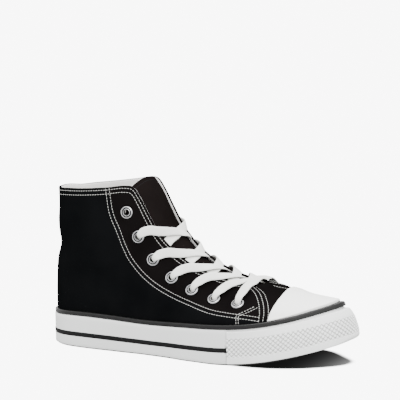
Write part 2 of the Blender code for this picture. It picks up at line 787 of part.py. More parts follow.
def main():
    for thing in list(bpy.data.objects):
        bpy.data.objects.remove(thing)
    collection("high_top_sneaker")
    cutters = collection("cutters")
    cutters.hide_render = True

    make_outsole(material("black_rubber", (0.02, 0.02, 0.02), 0.6))
    make_side_band(material("white_rubber", (0.78, 0.78, 0.77), 0.45))
    make_toe_bumper(material("bumper_rubber", (0.80, 0.80, 0.79), 0.45))
    make_top_stripe(material("stripe_rubber", (0.03, 0.03, 0.032), 0.35))
    make_mid_stripe(material("line_rubber", (0.02, 0.02, 0.022), 0.4))
    make_insole(material("insole_cloth", (0.75, 0.74, 0.71), 0.9))
    make_upper(material("black_canvas", (0.012, 0.012, 0.014), 0.95), cutters)
    make_toe_cap(material("cap_rubber", (0.84, 0.84, 0.82), 0.35))
    make_tongue(material("tongue_canvas", (0.02, 0.017, 0.017), 0.95))
    make_eyelets(material("bright_metal", (0.75, 0.75, 0.77), 0.25, 1.0))
    make_lace(material("white_lace", (0.80, 0.80, 0.77), 0.9))


main()
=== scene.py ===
"""Looks of a canvas high top sneaker: canvas, lining, rubber, eyelets, lace, stitches and the stage."""

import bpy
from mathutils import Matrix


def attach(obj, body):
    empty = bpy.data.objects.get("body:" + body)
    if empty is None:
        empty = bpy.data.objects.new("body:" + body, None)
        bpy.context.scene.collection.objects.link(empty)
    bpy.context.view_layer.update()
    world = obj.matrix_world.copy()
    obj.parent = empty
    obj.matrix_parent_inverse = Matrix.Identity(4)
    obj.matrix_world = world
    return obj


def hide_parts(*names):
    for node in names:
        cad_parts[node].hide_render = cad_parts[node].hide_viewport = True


bl_info = {
    "name": "High top sneaker looks",
    "version": (1, 0, 0),
    "blender": (4, 5, 0),
    "location": "View3D > Sidebar > Sneaker",
    "description": "Builds the visible pieces of a canvas high top sneaker and its stage",
    "category": "Object",
}

import math

import bpy
import numpy as np
from bpy.props import FloatProperty, FloatVectorProperty, IntProperty, PointerProperty
from mathutils import Matrix, Vector

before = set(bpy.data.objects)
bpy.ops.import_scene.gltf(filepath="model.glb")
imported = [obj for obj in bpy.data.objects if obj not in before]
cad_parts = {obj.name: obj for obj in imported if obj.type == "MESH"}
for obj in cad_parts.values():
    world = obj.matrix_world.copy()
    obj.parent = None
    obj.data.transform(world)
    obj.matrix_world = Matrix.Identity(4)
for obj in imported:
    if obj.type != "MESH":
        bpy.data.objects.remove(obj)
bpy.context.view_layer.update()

# Sizes of the shoe as its solids have them, in metres or in shares of a size
LENGTH = 0.275
BALL_WIDTH = 0.103
COLLAR_HEIGHT = 0.138
TOE_SPRING = 0.0198
SPRING_START = 0.59
SPRING_CURVE = 1.73
ARCH_RISE = 0.0004
ARCH_START = (0.28, 0.36)
ARCH_END = (0.44, 0.52)
CLEARANCE = 0.0003
OUTSOLE_RIM = 0.0019
OUTSOLE_CORE = 0.006
OUTSOLE_SET_BACK = 0.0009
SIDE_THICKNESS = 0.0026
SIDE_HEIGHT = 0.0255
TOE_RAKE = 0.012
RAKE_START = 0.66
RAKE_BOW = 2.0
STRAIGHT = 1.0
TOP_STRIPE_HEIGHT = 0.0038
TOP_STRIPE_SET_BACK = 0.0003
MID_STRIPE_HEIGHT = 0.003
MID_STRIPE_PLACE = 0.43
GROOVE_DEPTH = 0.0009
STRIPE_PROUD = 0.0003
BUMPER_START = 0.665
BUMPER_THICKNESS = 0.0014
BUMPER_PROUD = 0.0004
BUMPER_MARGIN = 0.0015
INSOLE_THICKNESS = 0.005
WALL = 0.0021
OVERLAY = 0.0007
HEEL_STAY_WIDTH = 0.026
ANKLE_DENT = 0.0036
DENT_PLACE = 0.64
DENT_SPREAD = 0.055
DENT_FADE = (0.05, 0.22)
CAP_START = 0.783
CAP_THICKNESS = 0.0014
TONGUE_THICKNESS = 0.0024
TONGUE_GAP = 0.0016
TONGUE_CROWN = 0.10
TONGUE_SIDE = 0.011
TONGUE_RISE = 0.002
TONGUE_TUCK = 0.009
EYELET_RADIUS = 0.0053
EYELET_HOLE = 0.0024
BARREL_RADIUS = 0.0029
EDGE_ROW = 0.5
CROWN_ROW = 0.85
BUMPER_SEAT = BUMPER_THICKNESS + CLEARANCE
MIDDLE = np.array([LENGTH / 2, 0.0, 0.0])
SIZES = np.array([LENGTH, BALL_WIDTH, COLLAR_HEIGHT])

# Sizes that only the visible pieces have, in metres
SOLE_LINE = 0.0007
INNER_SAG = 0.0020
CROWN_DROP = 0.0031
CUT_CORNER = 0.0006
TIP_ROUNDING = 0.0040
TIP_FULLNESS = 0.0016
PLAIN_EDGE = 0.0052
GROOVE_LIP = 0.0002
RIM_SET_BACK = 0.0006
TIP_SET_BACK = 0.0036
TIP_LIFT = 0.004
STRIPE_SPREAD = 0.00028
STRIPE_CORNER = 0.0008
STRIPE_FULLNESS = 0.0014
CAP_CORNER = 0.0011
CAP_SWELL = 0.0004
TREAD_DEPTH = 0.0011
TREAD_WAVE = (0.0022, 0.011)
SEAM_SPACE = 0.0017
PATCH_SPACE = 0.0035
COLLAR_ROWS = (0.0020, 0.0055)

# Edge of the canvas turned in over the lining at the collar
QUARTER_FOLD = (
    # lift from the plain skin, rise past its edge
    (OVERLAY - 0.0003, 0.0003),
    (OVERLAY - 0.0008, 0.0004),
    (-0.0009, 0.0003),
    (-0.0015, 0.0),
)

# Rim of the lining
LINING_RIM = (
    # depth below the plain skin, drop from its edge
    (0.0013, 0.0012),
    (0.0015, 0.0003),
    (0.0017, 0.0),
    (0.0019, 0.0003),
    (WALL, 0.0010),
)

# Rows of stitches along the quarters' front edge
FRONT_ROWS = (
    # behind the edge, lift from the plain skin
    (0.0060, OVERLAY),
    (0.0026, OVERLAY),
    (-0.0010, 0.0),
)

# Half section of an eyelet, from the hole behind to the back of the flange
EYELET_PROFILE = (
    # radius, height above the canvas
    (EYELET_HOLE + 0.0004, -WALL - 0.0006),
    (EYELET_HOLE, -WALL),
    (EYELET_HOLE, 0.0006),
    (EYELET_HOLE + 0.0001, 0.0012),
    (EYELET_HOLE + 0.0004, 0.0015),
    (EYELET_HOLE + 0.0008, 0.0012),
    (EYELET_HOLE + 0.0010, 0.0006),
    (EYELET_RADIUS - 0.0013, 0.0006),
    (EYELET_RADIUS - 0.0011, 0.0011),
    (EYELET_RADIUS - 0.0008, 0.0014),
    (EYELET_RADIUS - 0.0004, 0.0012),
    (EYELET_RADIUS - 0.0001, 0.0008),
    (EYELET_RADIUS, 0.0003),
    (EYELET_RADIUS, -0.0004),
    (BARREL_RADIUS, -0.0006),
)
SHADED_FACES = (0, 1, 2, 5, 6, 7)

OUTLINE = (
    # along, outer side, inner side
    (0.000, 0.000, 0.000),
    (0.018, -0.190, 0.190),
    (0.070, -0.305, 0.290),
    (0.160, -0.352, 0.325),
    (0.280, -0.372, 0.328),
    (0.420, -0.415, 0.355),
    (0.550, -0.462, 0.430),
    (0.670, -0.500, 0.495),
    (0.770, -0.488, 0.485),
    (0.870, -0.395, 0.415),
    (0.950, -0.235, 0.240),
    (0.993, -0.078, 0.105),
    (1.000, 0.015, 0.015),
)

BAND_TOP = (
    # along, height
    (0.00, 1.00),
    (0.10, 1.05),
    (0.17, 1.065),
    (0.26, 1.045),
    (0.36, 1.02),
    (0.50, 1.07),
    (0.60, 1.12),
    (0.70, 1.215),
    (0.80, 1.36),
    (0.90, 1.565),
    (1.00, 1.815),
)

COLUMNS = (
    # along, top x, top y, top z, low x, low y, low z, high x, high y, high z
    (0.000, 0.023, 0.000, 0.963, -0.004, 0.000, 0.225, 0.010, 0.000, -0.240),
    (0.020, 0.034, 0.140, 0.964, -0.003, 0.010, 0.225, 0.008, 0.010, -0.240),
    (0.070, 0.075, 0.238, 0.967, -0.004, 0.018, 0.218, 0.002, 0.022, -0.240),
    (0.120, 0.153, 0.268, 0.974, 0.000, 0.020, 0.210, -0.012, 0.024, -0.240),
    (0.170, 0.233, 0.262, 0.987, 0.008, 0.018, 0.210, -0.024, 0.022, -0.240),
    (0.205, 0.287, 0.243, 1.000, 0.015, 0.014, 0.205, -0.032, 0.022, -0.235),
    (0.225, 0.309, 0.223, 0.992, 0.018, 0.012, 0.200, -0.036, 0.026, -0.215),
    (0.250, 0.331, 0.221, 0.935, 0.018, 0.012, 0.185, -0.040, 0.035, -0.180),
    (0.280, 0.359, 0.218, 0.839, 0.017, 0.013, 0.170, -0.046, 0.055, -0.145),
    (0.315, 0.391, 0.213, 0.734, 0.014, 0.016, 0.155, -0.050, 0.085, -0.115),
    (0.365, 0.435, 0.200, 0.635, 0.010, 0.018, 0.140, -0.052, 0.115, -0.095),
    (0.440, 0.497, 0.180, 0.543, 0.006, 0.020, 0.120, -0.045, 0.140, -0.075),
    (0.530, 0.567, 0.157, 0.483, 0.002, 0.018, 0.100, -0.030, 0.155, -0.060),
    (0.620, 0.632, 0.138, 0.448, -0.002, 0.012, 0.080, -0.012, 0.150, -0.056),
    (0.700, 0.670, 0.117, 0.447, -0.006, 0.006, 0.066, 0.010, 0.146, -0.046),
    (0.790, 0.692, 0.083, 0.458, -0.010, 0.000, 0.048, 0.042, 0.122, -0.055),
    (0.900, 0.705, 0.044, 0.463, -0.022, -0.010, 0.026, 0.080, 0.060, -0.074),
    (1.000, 0.710, 0.000, 0.464, -0.034, 0.000, 0.008, 0.090, 0.000, -0.084),
)

EYELETS = (
    # along, below edge
    (0.230, 0.0208),
    (0.284, 0.0199),
    (0.346, 0.0181),
    (0.424, 0.0193),
    (0.507, 0.0215),
    (0.593, 0.0239),
    (0.690, 0.0278),
)

TONGUE_COLUMNS = (0.225, 0.25, 0.28, 0.315, 0.35, 0.39, 0.44, 0.49, 0.54, 0.59, 0.64, 0.68)
TUCK_COLUMNS = (0.72, 0.80, 0.90, 1.00)

# Edge of the quarters in front, from the side band up to the throat
FRONT_EDGE = (
    # share of height, half turn
    (0.00, 0.693),
    (0.30, 0.7025),
    (0.54, 0.706),
    (0.72, 0.703),
    (0.85, 0.690),
    (0.94, 0.668),
    (1.00, 0.640),
)

# Double seam behind the eyelets, from the collar to the quarters' front edge
EYELET_SEAM = (
    # half turn, share of height
    (0.2687, 1.000),
    (0.2812, 0.833),
    (0.3060, 0.666),
    (0.3452, 0.556),
    (0.3808, 0.532),
    (0.4240, 0.498),
    (0.4705, 0.444),
    (0.5157, 0.374),
    (0.5618, 0.292),
    (0.6093, 0.236),
    (0.6600, 0.150),
    (0.6960, 0.040),
)

# Seam of the small patch under the lowest eyelet
PATCH_SEAM = (
    # half turn, share of height
    (0.6270, 0.000),
    (0.6275, 0.242),
    (0.6760, 0.442),
)

# Soft troughs and ridges of the worn-in canvas
CREASES = (
    # half turn, share of height, run along the turn, run up, depth
    (0.00, 0.55, 0.06, 0.035, 0.0016),
    (0.05, 0.52, 0.10, 0.05, 0.0006),
    (0.16, 0.47, 0.12, 0.05, 0.0005),
    (0.24, 0.40, 0.08, 0.09, -0.0004),
    (0.33, 0.30, 0.09, 0.08, 0.0004),
    (0.48, 0.16, 0.07, 0.10, 0.0004),
    (0.56, 0.14, 0.03, 0.14, -0.0003),
    (0.62, 0.55, 0.02, 0.20, 0.0003),
    (0.12, 0.75, 0.10, 0.06, -0.0004),
)


def to_turn(along):
    return np.arccos(np.clip(1 - 2 * np.asarray(along, float), -1, 1)) / math.pi


def turned(rows):
    return np.array([(to_turn(row[0]), *row[1:]) for row in rows])


OUTLINE_TURNED = turned(OUTLINE)
COLUMNS_TURNED = turned(COLUMNS)
BUMPER_TURN = float(to_turn(BUMPER_START))


def smooth(rows, at):
    """Reads a table's later columns at places along its first, on one smooth curve."""
    table = np.array(rows, float)
    keys, values = table[:, 0], table[:, 1:]
    at = np.asarray(at, float)
    slopes = np.gradient(values, keys, axis=0)
    row = np.clip(np.searchsorted(keys, at, side="right") - 1, 0, len(keys) - 2)
    span = keys[row + 1] - keys[row]
    t = np.clip((at - keys[row]) / span, 0, 1)[..., None]
    span = span[..., None]
    return (
        (1 + 2 * t) * (1 - t) ** 2 * values[row]
        + t * (1 - t) ** 2 * span * slopes[row]
        + t**2 * (3 - 2 * t) * values[row + 1]
        + t**2 * (t - 1) * span * slopes[row + 1]
    )


def ramp(value, low, high):
    t = np.clip((np.asarray(value) - low) / (high - low), 0, 1)
    return t * t * (3 - 2 * t)


def bell(value, middle, width):
    return np.exp(-(((value - middle) / width) ** 2))


def unit(vectors):
    return vectors / np.linalg.norm(vectors, axis=-1, keepdims=True)


def run_along(line):
    """How far along a line each of its points lies."""
    return np.concatenate([[0], np.cumsum(np.linalg.norm(np.diff(line, axis=0), axis=1))])


def half_turn(station):
    """A station is 0 at the heel, 1 at the toe along the outer side, and 2 at the heel again."""
    station = np.mod(np.asarray(station, float), 2)
    inner = station > 1
    return np.where(inner, 2 - station, station), np.where(inner, 1.0, -1.0)


def outline(station):
    turn, side = half_turn(station)
    x = LENGTH * (1 - np.cos(math.pi * turn)) / 2
    y = smooth(OUTLINE_TURNED, turn)
    return np.stack([x, BALL_WIDTH * np.where(side > 0, y[..., 1], y[..., 0])], axis=-1)


def outward(station):
    step = 1e-3
    station = np.asarray(station, float)
    along = outline(station + step) - outline(station - step)
    return unit(np.stack([along[..., 1], -along[..., 0]], axis=-1))


def sole_under(x):
    share = x / LENGTH
    spring = np.clip((share - SPRING_START) / (1 - SPRING_START), 0, 1) ** SPRING_CURVE
    arch = ramp(share, *ARCH_START) * (1 - ramp(share, *ARCH_END))
    return TOE_SPRING * spring + ARCH_RISE * arch


def band_height(station):
    x = outline(station)[..., 0]
    return SIDE_HEIGHT * smooth(BAND_TOP, x / LENGTH)[..., 0] - sole_under(x)


def at_rise(station, rise, inset, bow=RAKE_BOW):
    """A point of the sole's side, at a height above the underside and inwards from the outer face."""
    flat = outline(station)
    rake = TOE_RAKE * ramp(flat[..., 0] / LENGTH, RAKE_START, 1.0)
    level = rise / band_height(station)
    lean = np.where(level < 1, np.abs(level) ** bow, level)
    inward = rake * lean + inset
    z = sole_under(flat[..., 0]) + rise
    return np.concatenate([flat - outward(station) * inward[..., None], z[..., None]], axis=-1)


def skin(station, share):
    """The upper's plain outer skin: share is 0 at the top stripe and 1 at the top edge."""
    turn, side = half_turn(station)
    row = smooth(COLUMNS_TURNED, turn)
    scale = SIZES * np.stack([np.ones_like(side), side, np.ones_like(side)], axis=-1)
    foot = at_rise(station, band_height(station) + TOP_STRIPE_HEIGHT, SIDE_THICKNESS + CLEARANCE)
    top = row[..., 0:3] * scale
    low = foot + row[..., 3:6] * scale
    high = top + row[..., 6:9] * scale
    t = np.asarray(share, float)[..., None]
    point = (1 - t) ** 3 * foot + 3 * t * (1 - t) ** 2 * low + 3 * t**2 * (1 - t) * high + t**3 * top
    level = point[..., 2] / COLLAR_HEIGHT
    point[..., 0] += ANKLE_DENT * bell(level, DENT_PLACE, DENT_SPREAD) * (1 - ramp(turn, *DENT_FADE))
    sag = INNER_SAG * (bell(turn, 0.30, 0.06) - bell(turn, 0.13, 0.07))
    point[..., 2] += sag * (side > 0) * ramp(share, 0.55, 1.0)
    point[..., 2] -= CROWN_DROP * ramp(share, 0.68, 0.97) * ramp(turn, 0.62, 0.72)
    return point


def skin_normal(station, share):
    step = 1e-3
    station, share = np.asarray(station, float), np.asarray(share, float)
    across = skin(station + step, share) - skin(station - step, share)
    up = skin(station, np.minimum(share + step, 1)) - skin(station, np.maximum(share - step, 0))
    return unit(np.cross(across, up))


def creased(station, share):
    """How far the canvas stands out or sinks in beside its plain skin."""
    turn = half_turn(station)[0]
    total = np.zeros(np.broadcast(turn, share).shape)
    for middle, level, run, rise, depth in CREASES:
        total -= depth * bell(turn, middle, run) * bell(share, level, rise)
    return total * ramp(share, 0.0, 0.06) * (1 - ramp(share, 0.9, 1.0))


def canvas(station, share, lift):
    """A point of the canvas, lifted outwards from the plain skin."""
    station, share = np.broadcast_arrays(np.asarray(station, float), np.asarray(share, float))
    out = np.asarray(lift) + creased(station, share)
    return skin(station, share) + skin_normal(station, share) * np.asarray(out)[..., None]


def share_below(station, distance):
    """The shares at which columns are a distance below their top edge, measured along them."""
    station = np.atleast_1d(np.asarray(station, float))
    distance = np.broadcast_to(distance, station.shape)
    shares = np.linspace(1, 0, 160)
    grid = skin(station[:, None] + 0 * shares, 0 * station[:, None] + shares)
    run = np.cumsum(np.linalg.norm(np.diff(grid, axis=1), axis=2), axis=1)
    run = np.concatenate([np.zeros((len(station), 1)), run], axis=1)
    return np.array([np.interp(d, r, shares) for d, r in zip(distance, run)])


def stay_turn():
    turns = np.linspace(0, 0.3, 200)
    return float(np.interp(HEEL_STAY_WIDTH / 2, -outline(turns)[:, 1], turns))


STAY_TURN = stay_turn()


def station_of(along, side):
    turn = float(to_turn(along))
    return turn if side == 1 else 2 - turn


def inside_upper(along, side, below, depth):
    station = np.array([station_of(along, side)])
    share = share_below(station, below)
    return (skin(station, share) - skin_normal(station, share) * depth)[0]


def over_canvas(along, side, below, lift):
    """A place above the quarters and the direction it faces: side is 1 outside and -1 inside."""
    station = np.array([station_of(along, side)])
    share = share_below(station, below)
    normal = skin_normal(station, share)[0]
    return canvas(station, share, OVERLAY + lift)[0], normal


def tongue_section(along):
    depth = WALL + TONGUE_GAP
    drops = (TONGUE_SIDE, TONGUE_SIDE / 2, 0)
    outer = [inside_upper(along, 1, drop, depth) for drop in drops]
    inner = [inside_upper(along, -1, drop, depth) for drop in drops[::-1]]
    up = outer[-1] + inner[0] - outer[0] - inner[-1]
    span = np.linalg.norm(inner[0] - outer[-1])
    crown = (outer[-1] + inner[0]) / 2 + unit(up) * TONGUE_CROWN * span
    return np.array([*outer, crown, *inner])


def tongue_face():
    rows = [tongue_section(along) for along in TONGUE_COLUMNS]
    rise = rows[0] - rows[1]
    rows.insert(0, rows[0] + unit(rise) * TONGUE_RISE)
    tuck = [inside_upper(along, 1, TONGUE_TUCK, WALL + TONGUE_GAP) for along in TUCK_COLUMNS]
    other = [inside_upper(along, -1, TONGUE_TUCK, WALL + TONGUE_GAP) for along in TUCK_COLUMNS[:-1]]
    rows.append(np.array(tuck + other[::-1]))
    return np.array(rows)


def over_tongue(along, across, lift):
    """A place above the tongue: across is -1 at its outer edge, 0 at its crown and 1 inside."""
    section = tongue_section(along)
    keys = np.arange(-3, 4)
    spot = smooth(np.column_stack([keys, section]), np.array([across * 3 - 0.1, across * 3 + 0.1]))
    ahead = tongue_section(along + 0.01)[3] - section[3]
    normal = np.cross(ahead, spot[1] - spot[0])
    normal *= np.sign(normal[2]) / np.linalg.norm(normal)
    return spot.mean(axis=0) + normal * lift, normal


def row_column(row):
    columns = [along for along, _ in EYELETS]
    columns.append(2 * columns[-1] - columns[-2])
    return float(np.interp(row, np.arange(len(columns)), columns))


def eyelet_places():
    """Centres on the outer face and outward normals averaged over the flange, outer side first."""
    found = []
    for side in (1, -1):
        for along, below in EYELETS:
            station = station_of(along, side)
            level = share_below(station, below)
            point = canvas(np.array([station]), level, OVERLAY)[0]
            near = skin(np.array([station - 1e-3, station + 1e-3]), np.full(2, level[0]))
            reach = 2e-3 * EYELET_RADIUS / np.linalg.norm(near[1] - near[0])
            across = skin(np.array([station - reach, station + reach]), np.full(2, level[0]))
            ends = share_below([station, station], [below + EYELET_RADIUS, below - EYELET_RADIUS])
            up = skin(np.full(2, station), ends)
            found.append((point, unit(np.cross(across[1] - across[0], up[1] - up[0]))))
    return found


# Meshes


def grid_piece(name, grid, finishes, wrap=False, close=False, finish_of=None, keep=None, caps=False):
    """A mesh from a grid of points, whose UVs are lengths in metres along and across it.

    wrap joins the last row to the first and close the last column to the first. finish_of gives a
    face's material from its row and column, and keep says which faces stay."""
    rows, columns = grid.shape[:2]
    u = np.concatenate([[0], np.cumsum(np.linalg.norm(np.diff(grid, axis=0), axis=2).mean(axis=1))])
    v = np.concatenate([[0], np.cumsum(np.linalg.norm(np.diff(grid, axis=1), axis=2).mean(axis=0))])
    ends = rows if wrap else rows - 1
    sides = columns if close else columns - 1
    i, j = np.meshgrid(np.arange(ends), np.arange(sides), indexing="ij")
    i, j = i.ravel(), j.ravel()
    if keep is not None:
        here = keep[i, j]
        i, j = i[here], j[here]
    k, m = (i + 1) % rows, (j + 1) % columns
    faces = np.stack([i * columns + j, k * columns + j, k * columns + m, i * columns + m], axis=1)
    mesh = bpy.data.meshes.new(name)
    polygons = faces.tolist()
    if caps:
        polygons.append(list(range(columns)))
        polygons.append([(rows - 1) * columns + c for c in range(columns)][::-1])
    mesh.from_pydata((grid.reshape(-1, 3) - MIDDLE).tolist(), [], polygons)
    u = np.append(u, u[-1] + u[1])
    v = np.append(v, v[-1] + v[1])
    corners = np.stack([u[i], v[j], u[i + 1], v[j], u[i + 1], v[j + 1], u[i], v[j + 1]], axis=1)
    layer = mesh.uv_layers.new(name="UVMap")
    flat = np.zeros((len(layer.data), 2))
    flat[: 4 * len(i)] = corners.reshape(-1, 2)
    layer.data.foreach_set("uv", flat.ravel())
    piece = add_piece(name, mesh, finishes)
    if finish_of is not None:
        slots = np.zeros(len(mesh.polygons), int)
        slots[: len(i)] = finish_of(i, j)
        mesh.polygons.foreach_set("material_index", slots)
    return piece


def add_to_scene(name, data):
    made = bpy.data.objects.new(name, data)
    bpy.context.scene.collection.objects.link(made)
    return made


def add_piece(name, mesh, finishes, smooth_to=40):
    piece = add_to_scene(name, mesh)
    for finish in finishes:
        mesh.materials.append(finish)
    mesh.validate()
    mesh.shade_smooth()
    mesh.set_sharp_from_angle(angle=math.radians(smooth_to))
    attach(piece, "root")
    return piece


def turned_outwards(piece):
    """Makes the faces of a closed piece face outwards."""
    mesh = piece.data
    corners = np.empty(len(mesh.vertices) * 3)
    mesh.vertices.foreach_get("co", corners)
    corners = corners.reshape(-1, 3)
    mesh.calc_loop_triangles()
    triangles = np.empty(len(mesh.loop_triangles) * 3, int)
    mesh.loop_triangles.foreach_get("vertices", triangles)
    a, b, c = (corners[triangles.reshape(-1, 3)[:, n]] for n in range(3))
    if np.einsum("ij,ij->i", a, np.cross(b, c)).sum() < 0:
        mesh.flip_normals()
    return piece


def away_from_holes(grid, radius):
    """Which cells of a grid lie outside the eyelets' holes."""
    centres = (grid[:-1, :-1] + grid[1:, :-1] + grid[1:, 1:] + grid[:-1, 1:]) / 4
    clear = np.ones(centres.shape[:2], bool)
    for point, normal in eyelet_places():
        offset = centres - point
        height = offset @ normal
        radial = np.linalg.norm(offset - height[..., None] * normal, axis=-1)
        clear &= (radial > radius) | (np.abs(height) > 0.006)
    return clear


# Shading


def node(tree, kind, **settings):
    made = tree.nodes.new(kind)
    for key, value in settings.items():
        if key.startswith("in_"):
            made.inputs[key[3:].replace("_", " ")].default_value = value
        elif key.startswith("at_"):
            made.inputs[int(key[3:])].default_value = value
        else:
            setattr(made, key, value)
    return made


def shader_group(name, size_name, size, outputs):
    """A node group that takes places and one size, and gives values."""
    tree = bpy.data.node_groups.new(name, "ShaderNodeTree")
    tree.interface.new_socket(name="Vector", in_out="INPUT", socket_type="NodeSocketVector")
    asked = tree.interface.new_socket(name=size_name, in_out="INPUT", socket_type="NodeSocketFloat")
    asked.default_value = size
    for label in outputs:
        tree.interface.new_socket(name=label, in_out="OUTPUT", socket_type="NodeSocketFloat")
    return tree, tree.nodes.new("NodeGroupInput"), tree.nodes.new("NodeGroupOutput")


def weave_group():
    """Over-and-under threads from a surface's lengths, as a height and a fine fuzz."""
    tree, source, sink = shader_group("Woven threads", "Pitch", 0.0008, ("Height", "Fuzz"))
    link = tree.links.new
    scale = node(tree, "ShaderNodeMath", operation="DIVIDE", at_0=math.tau)
    link(source.outputs["Pitch"], scale.inputs[1])
    vector = node(tree, "ShaderNodeVectorMath", operation="SCALE")
    link(source.outputs["Vector"], vector.inputs[0])
    link(scale.outputs[0], vector.inputs["Scale"])
    split = node(tree, "ShaderNodeSeparateXYZ")
    link(vector.outputs[0], split.inputs[0])
    waves = []
    for axis in (0, 1):
        wave = node(tree, "ShaderNodeMath", operation="SINE")
        link(split.outputs[axis], wave.inputs[0])
        waves.append(wave)
    product = node(tree, "ShaderNodeMath", operation="MULTIPLY")
    link(waves[0].outputs[0], product.inputs[0])
    link(waves[1].outputs[0], product.inputs[1])
    half = node(tree, "ShaderNodeMath", operation="MULTIPLY_ADD", at_1=0.5, at_2=0.5)
    link(product.outputs[0], half.inputs[0])
    link(half.outputs[0], sink.inputs["Height"])
    fuzz = node(tree, "ShaderNodeTexNoise", in_Scale=900.0, in_Detail=4.0)
    link(source.outputs["Vector"], fuzz.inputs["Vector"])
    link(fuzz.outputs["Fac"], sink.inputs["Fuzz"])
    return tree


def patches_group():
    """Broad soft patches and fine specks, for uneven dye and gloss."""
    tree, source, sink = shader_group("Soft patches", "Size", 0.03, ("Broad", "Fine"))
    link = tree.links.new
    scale = node(tree, "ShaderNodeMath", operation="DIVIDE", at_0=1.0)
    link(source.outputs["Size"], scale.inputs[1])
    broad = node(tree, "ShaderNodeTexNoise", in_Detail=3.0, in_Roughness=0.5)
    link(source.outputs["Vector"], broad.inputs["Vector"])
    link(scale.outputs[0], broad.inputs["Scale"])
    link(broad.outputs["Fac"], sink.inputs["Broad"])
    fine = node(tree, "ShaderNodeTexNoise", in_Scale=700.0, in_Detail=3.0, in_Roughness=0.6)
    link(source.outputs["Vector"], fine.inputs["Vector"])
    link(fine.outputs["Fac"], sink.inputs["Fine"])
    return tree


def shared(name, maker):
    return bpy.data.node_groups.get(name) or maker()


def plain_material(name, roughness, **settings):
    made = bpy.data.materials.new(name)
    made.use_nodes = True
    shader = made.node_tree.nodes["Principled BSDF"]
    shader.inputs["Roughness"].default_value = roughness
    for key, value in settings.items():
        shader.inputs[key.replace("_", " ")].default_value = value
    return made, made.node_tree, shader


def soft_patches(tree, size):
    """The outputs of soft patches laid over a piece's own coordinates."""
    place = node(tree, "ShaderNodeTexCoord")
    patches = node(tree, "ShaderNodeGroup", node_tree=shared("Soft patches", patches_group), in_Size=size)
    tree.links.new(place.outputs["Object"], patches.inputs["Vector"])
    return patches.outputs


def two_tones(tree, shader, low, high, share):
    mix = node(tree, "ShaderNodeMix", data_type="RGBA", at_6=(*low, 1), at_7=(*high, 1))
    tree.links.new(share, mix.inputs[0])
    tree.links.new(mix.outputs[2], shader.inputs["Base Color"])


def uneven_gloss(tree, shader, low, high, share):
    spread = node(tree, "ShaderNodeMapRange", in_To_Min=low, in_To_Max=high)
    tree.links.new(share, spread.inputs["Value"])
    tree.links.new(spread.outputs["Result"], shader.inputs["Roughness"])


def bumped(tree, shader, strength, depth, height):
    bump = node(tree, "ShaderNodeBump", in_Strength=strength, in_Distance=depth)
    tree.links.new(height, bump.inputs["Height"])
    tree.links.new(bump.outputs[0], shader.inputs["Normal"])


def cloth(name, low, high, pitch, depth, gloss=0.1):
    """Woven cloth: two tones mixed by thread and patch, with the weave as a bump."""
    made, tree, shader = plain_material(name, 0.95, Specular_IOR_Level=gloss)
    link = tree.links.new
    lengths = node(tree, "ShaderNodeUVMap", uv_map="UVMap")
    threads = node(tree, "ShaderNodeGroup", node_tree=shared("Woven threads", weave_group), in_Pitch=pitch)
    link(lengths.outputs[0], threads.inputs["Vector"])
    total = node(tree, "ShaderNodeMath", operation="MULTIPLY_ADD", at_1=0.35)
    link(threads.outputs["Height"], total.inputs[0])
    link(soft_patches(tree, 0.04)["Broad"], total.inputs[2])
    spread = node(tree, "ShaderNodeMapRange", in_From_Min=0.35, in_From_Max=0.95)
    link(total.outputs[0], spread.inputs["Value"])
    two_tones(tree, shader, low, high, spread.outputs["Result"])
    height = node(tree, "ShaderNodeMath", operation="MULTIPLY_ADD", at_1=0.4)
    link(threads.outputs["Fuzz"], height.inputs[0])
    link(threads.outputs["Height"], height.inputs[2])
    bumped(tree, shader, 0.6, depth, height.outputs[0])
    return made


def rubber(name, low, high, roughness, gloss=0.4, grain=0.00004, coat=0.0):
    """Moulded rubber: a slightly uneven tone and gloss, and a fine grain."""
    looks = dict(Specular_IOR_Level=gloss, Coat_Weight=coat, Coat_Roughness=0.25)
    made, tree, shader = plain_material(name, roughness, **looks)
    patches = soft_patches(tree, 0.05)
    two_tones(tree, shader, low, high, patches["Broad"])
    uneven_gloss(tree, shader, roughness - 0.06, roughness + 0.1, patches["Broad"])
    bumped(tree, shader, 0.5, grain, patches["Fine"])
    return made


def metal(name, low, high):
    """Rolled metal in two mixed tones, with an uneven gloss."""
    made, tree, shader = plain_material(name, 0.28, Metallic=1.0)
    patches = soft_patches(tree, 0.006)
    two_tones(tree, shader, low, high, patches["Broad"])
    uneven_gloss(tree, shader, 0.2, 0.42, patches["Fine"])
    return made


def floor_finish(settings):
    """A pale floor that shows as bright as the backdrop, apart from the shade under the toe."""
    made, tree, shader = plain_material("studio_floor", 0.9, Specular_IOR_Level=0.0)
    shader.inputs["Base Color"].default_value = (*settings.floor_colour, 1)
    link = tree.links.new
    shade = node(tree, "ShaderNodeAttribute", attribute_name="light")
    lit = node(tree, "ShaderNodeMath", operation="MULTIPLY", at_1=settings.backdrop_strength)
    link(shade.outputs["Fac"], lit.inputs[0])
    glow = node(tree, "ShaderNodeEmission")
    link(lit.outputs[0], glow.inputs["Strength"])
    seen = node(tree, "ShaderNodeMixShader")
    link(node(tree, "ShaderNodeLightPath").outputs["Is Camera Ray"], seen.inputs[0])
    link(shader.outputs[0], seen.inputs[1])
    link(glow.outputs[0], seen.inputs[2])
    link(seen.outputs[0], tree.nodes["Material Output"].inputs["Surface"])
    return made


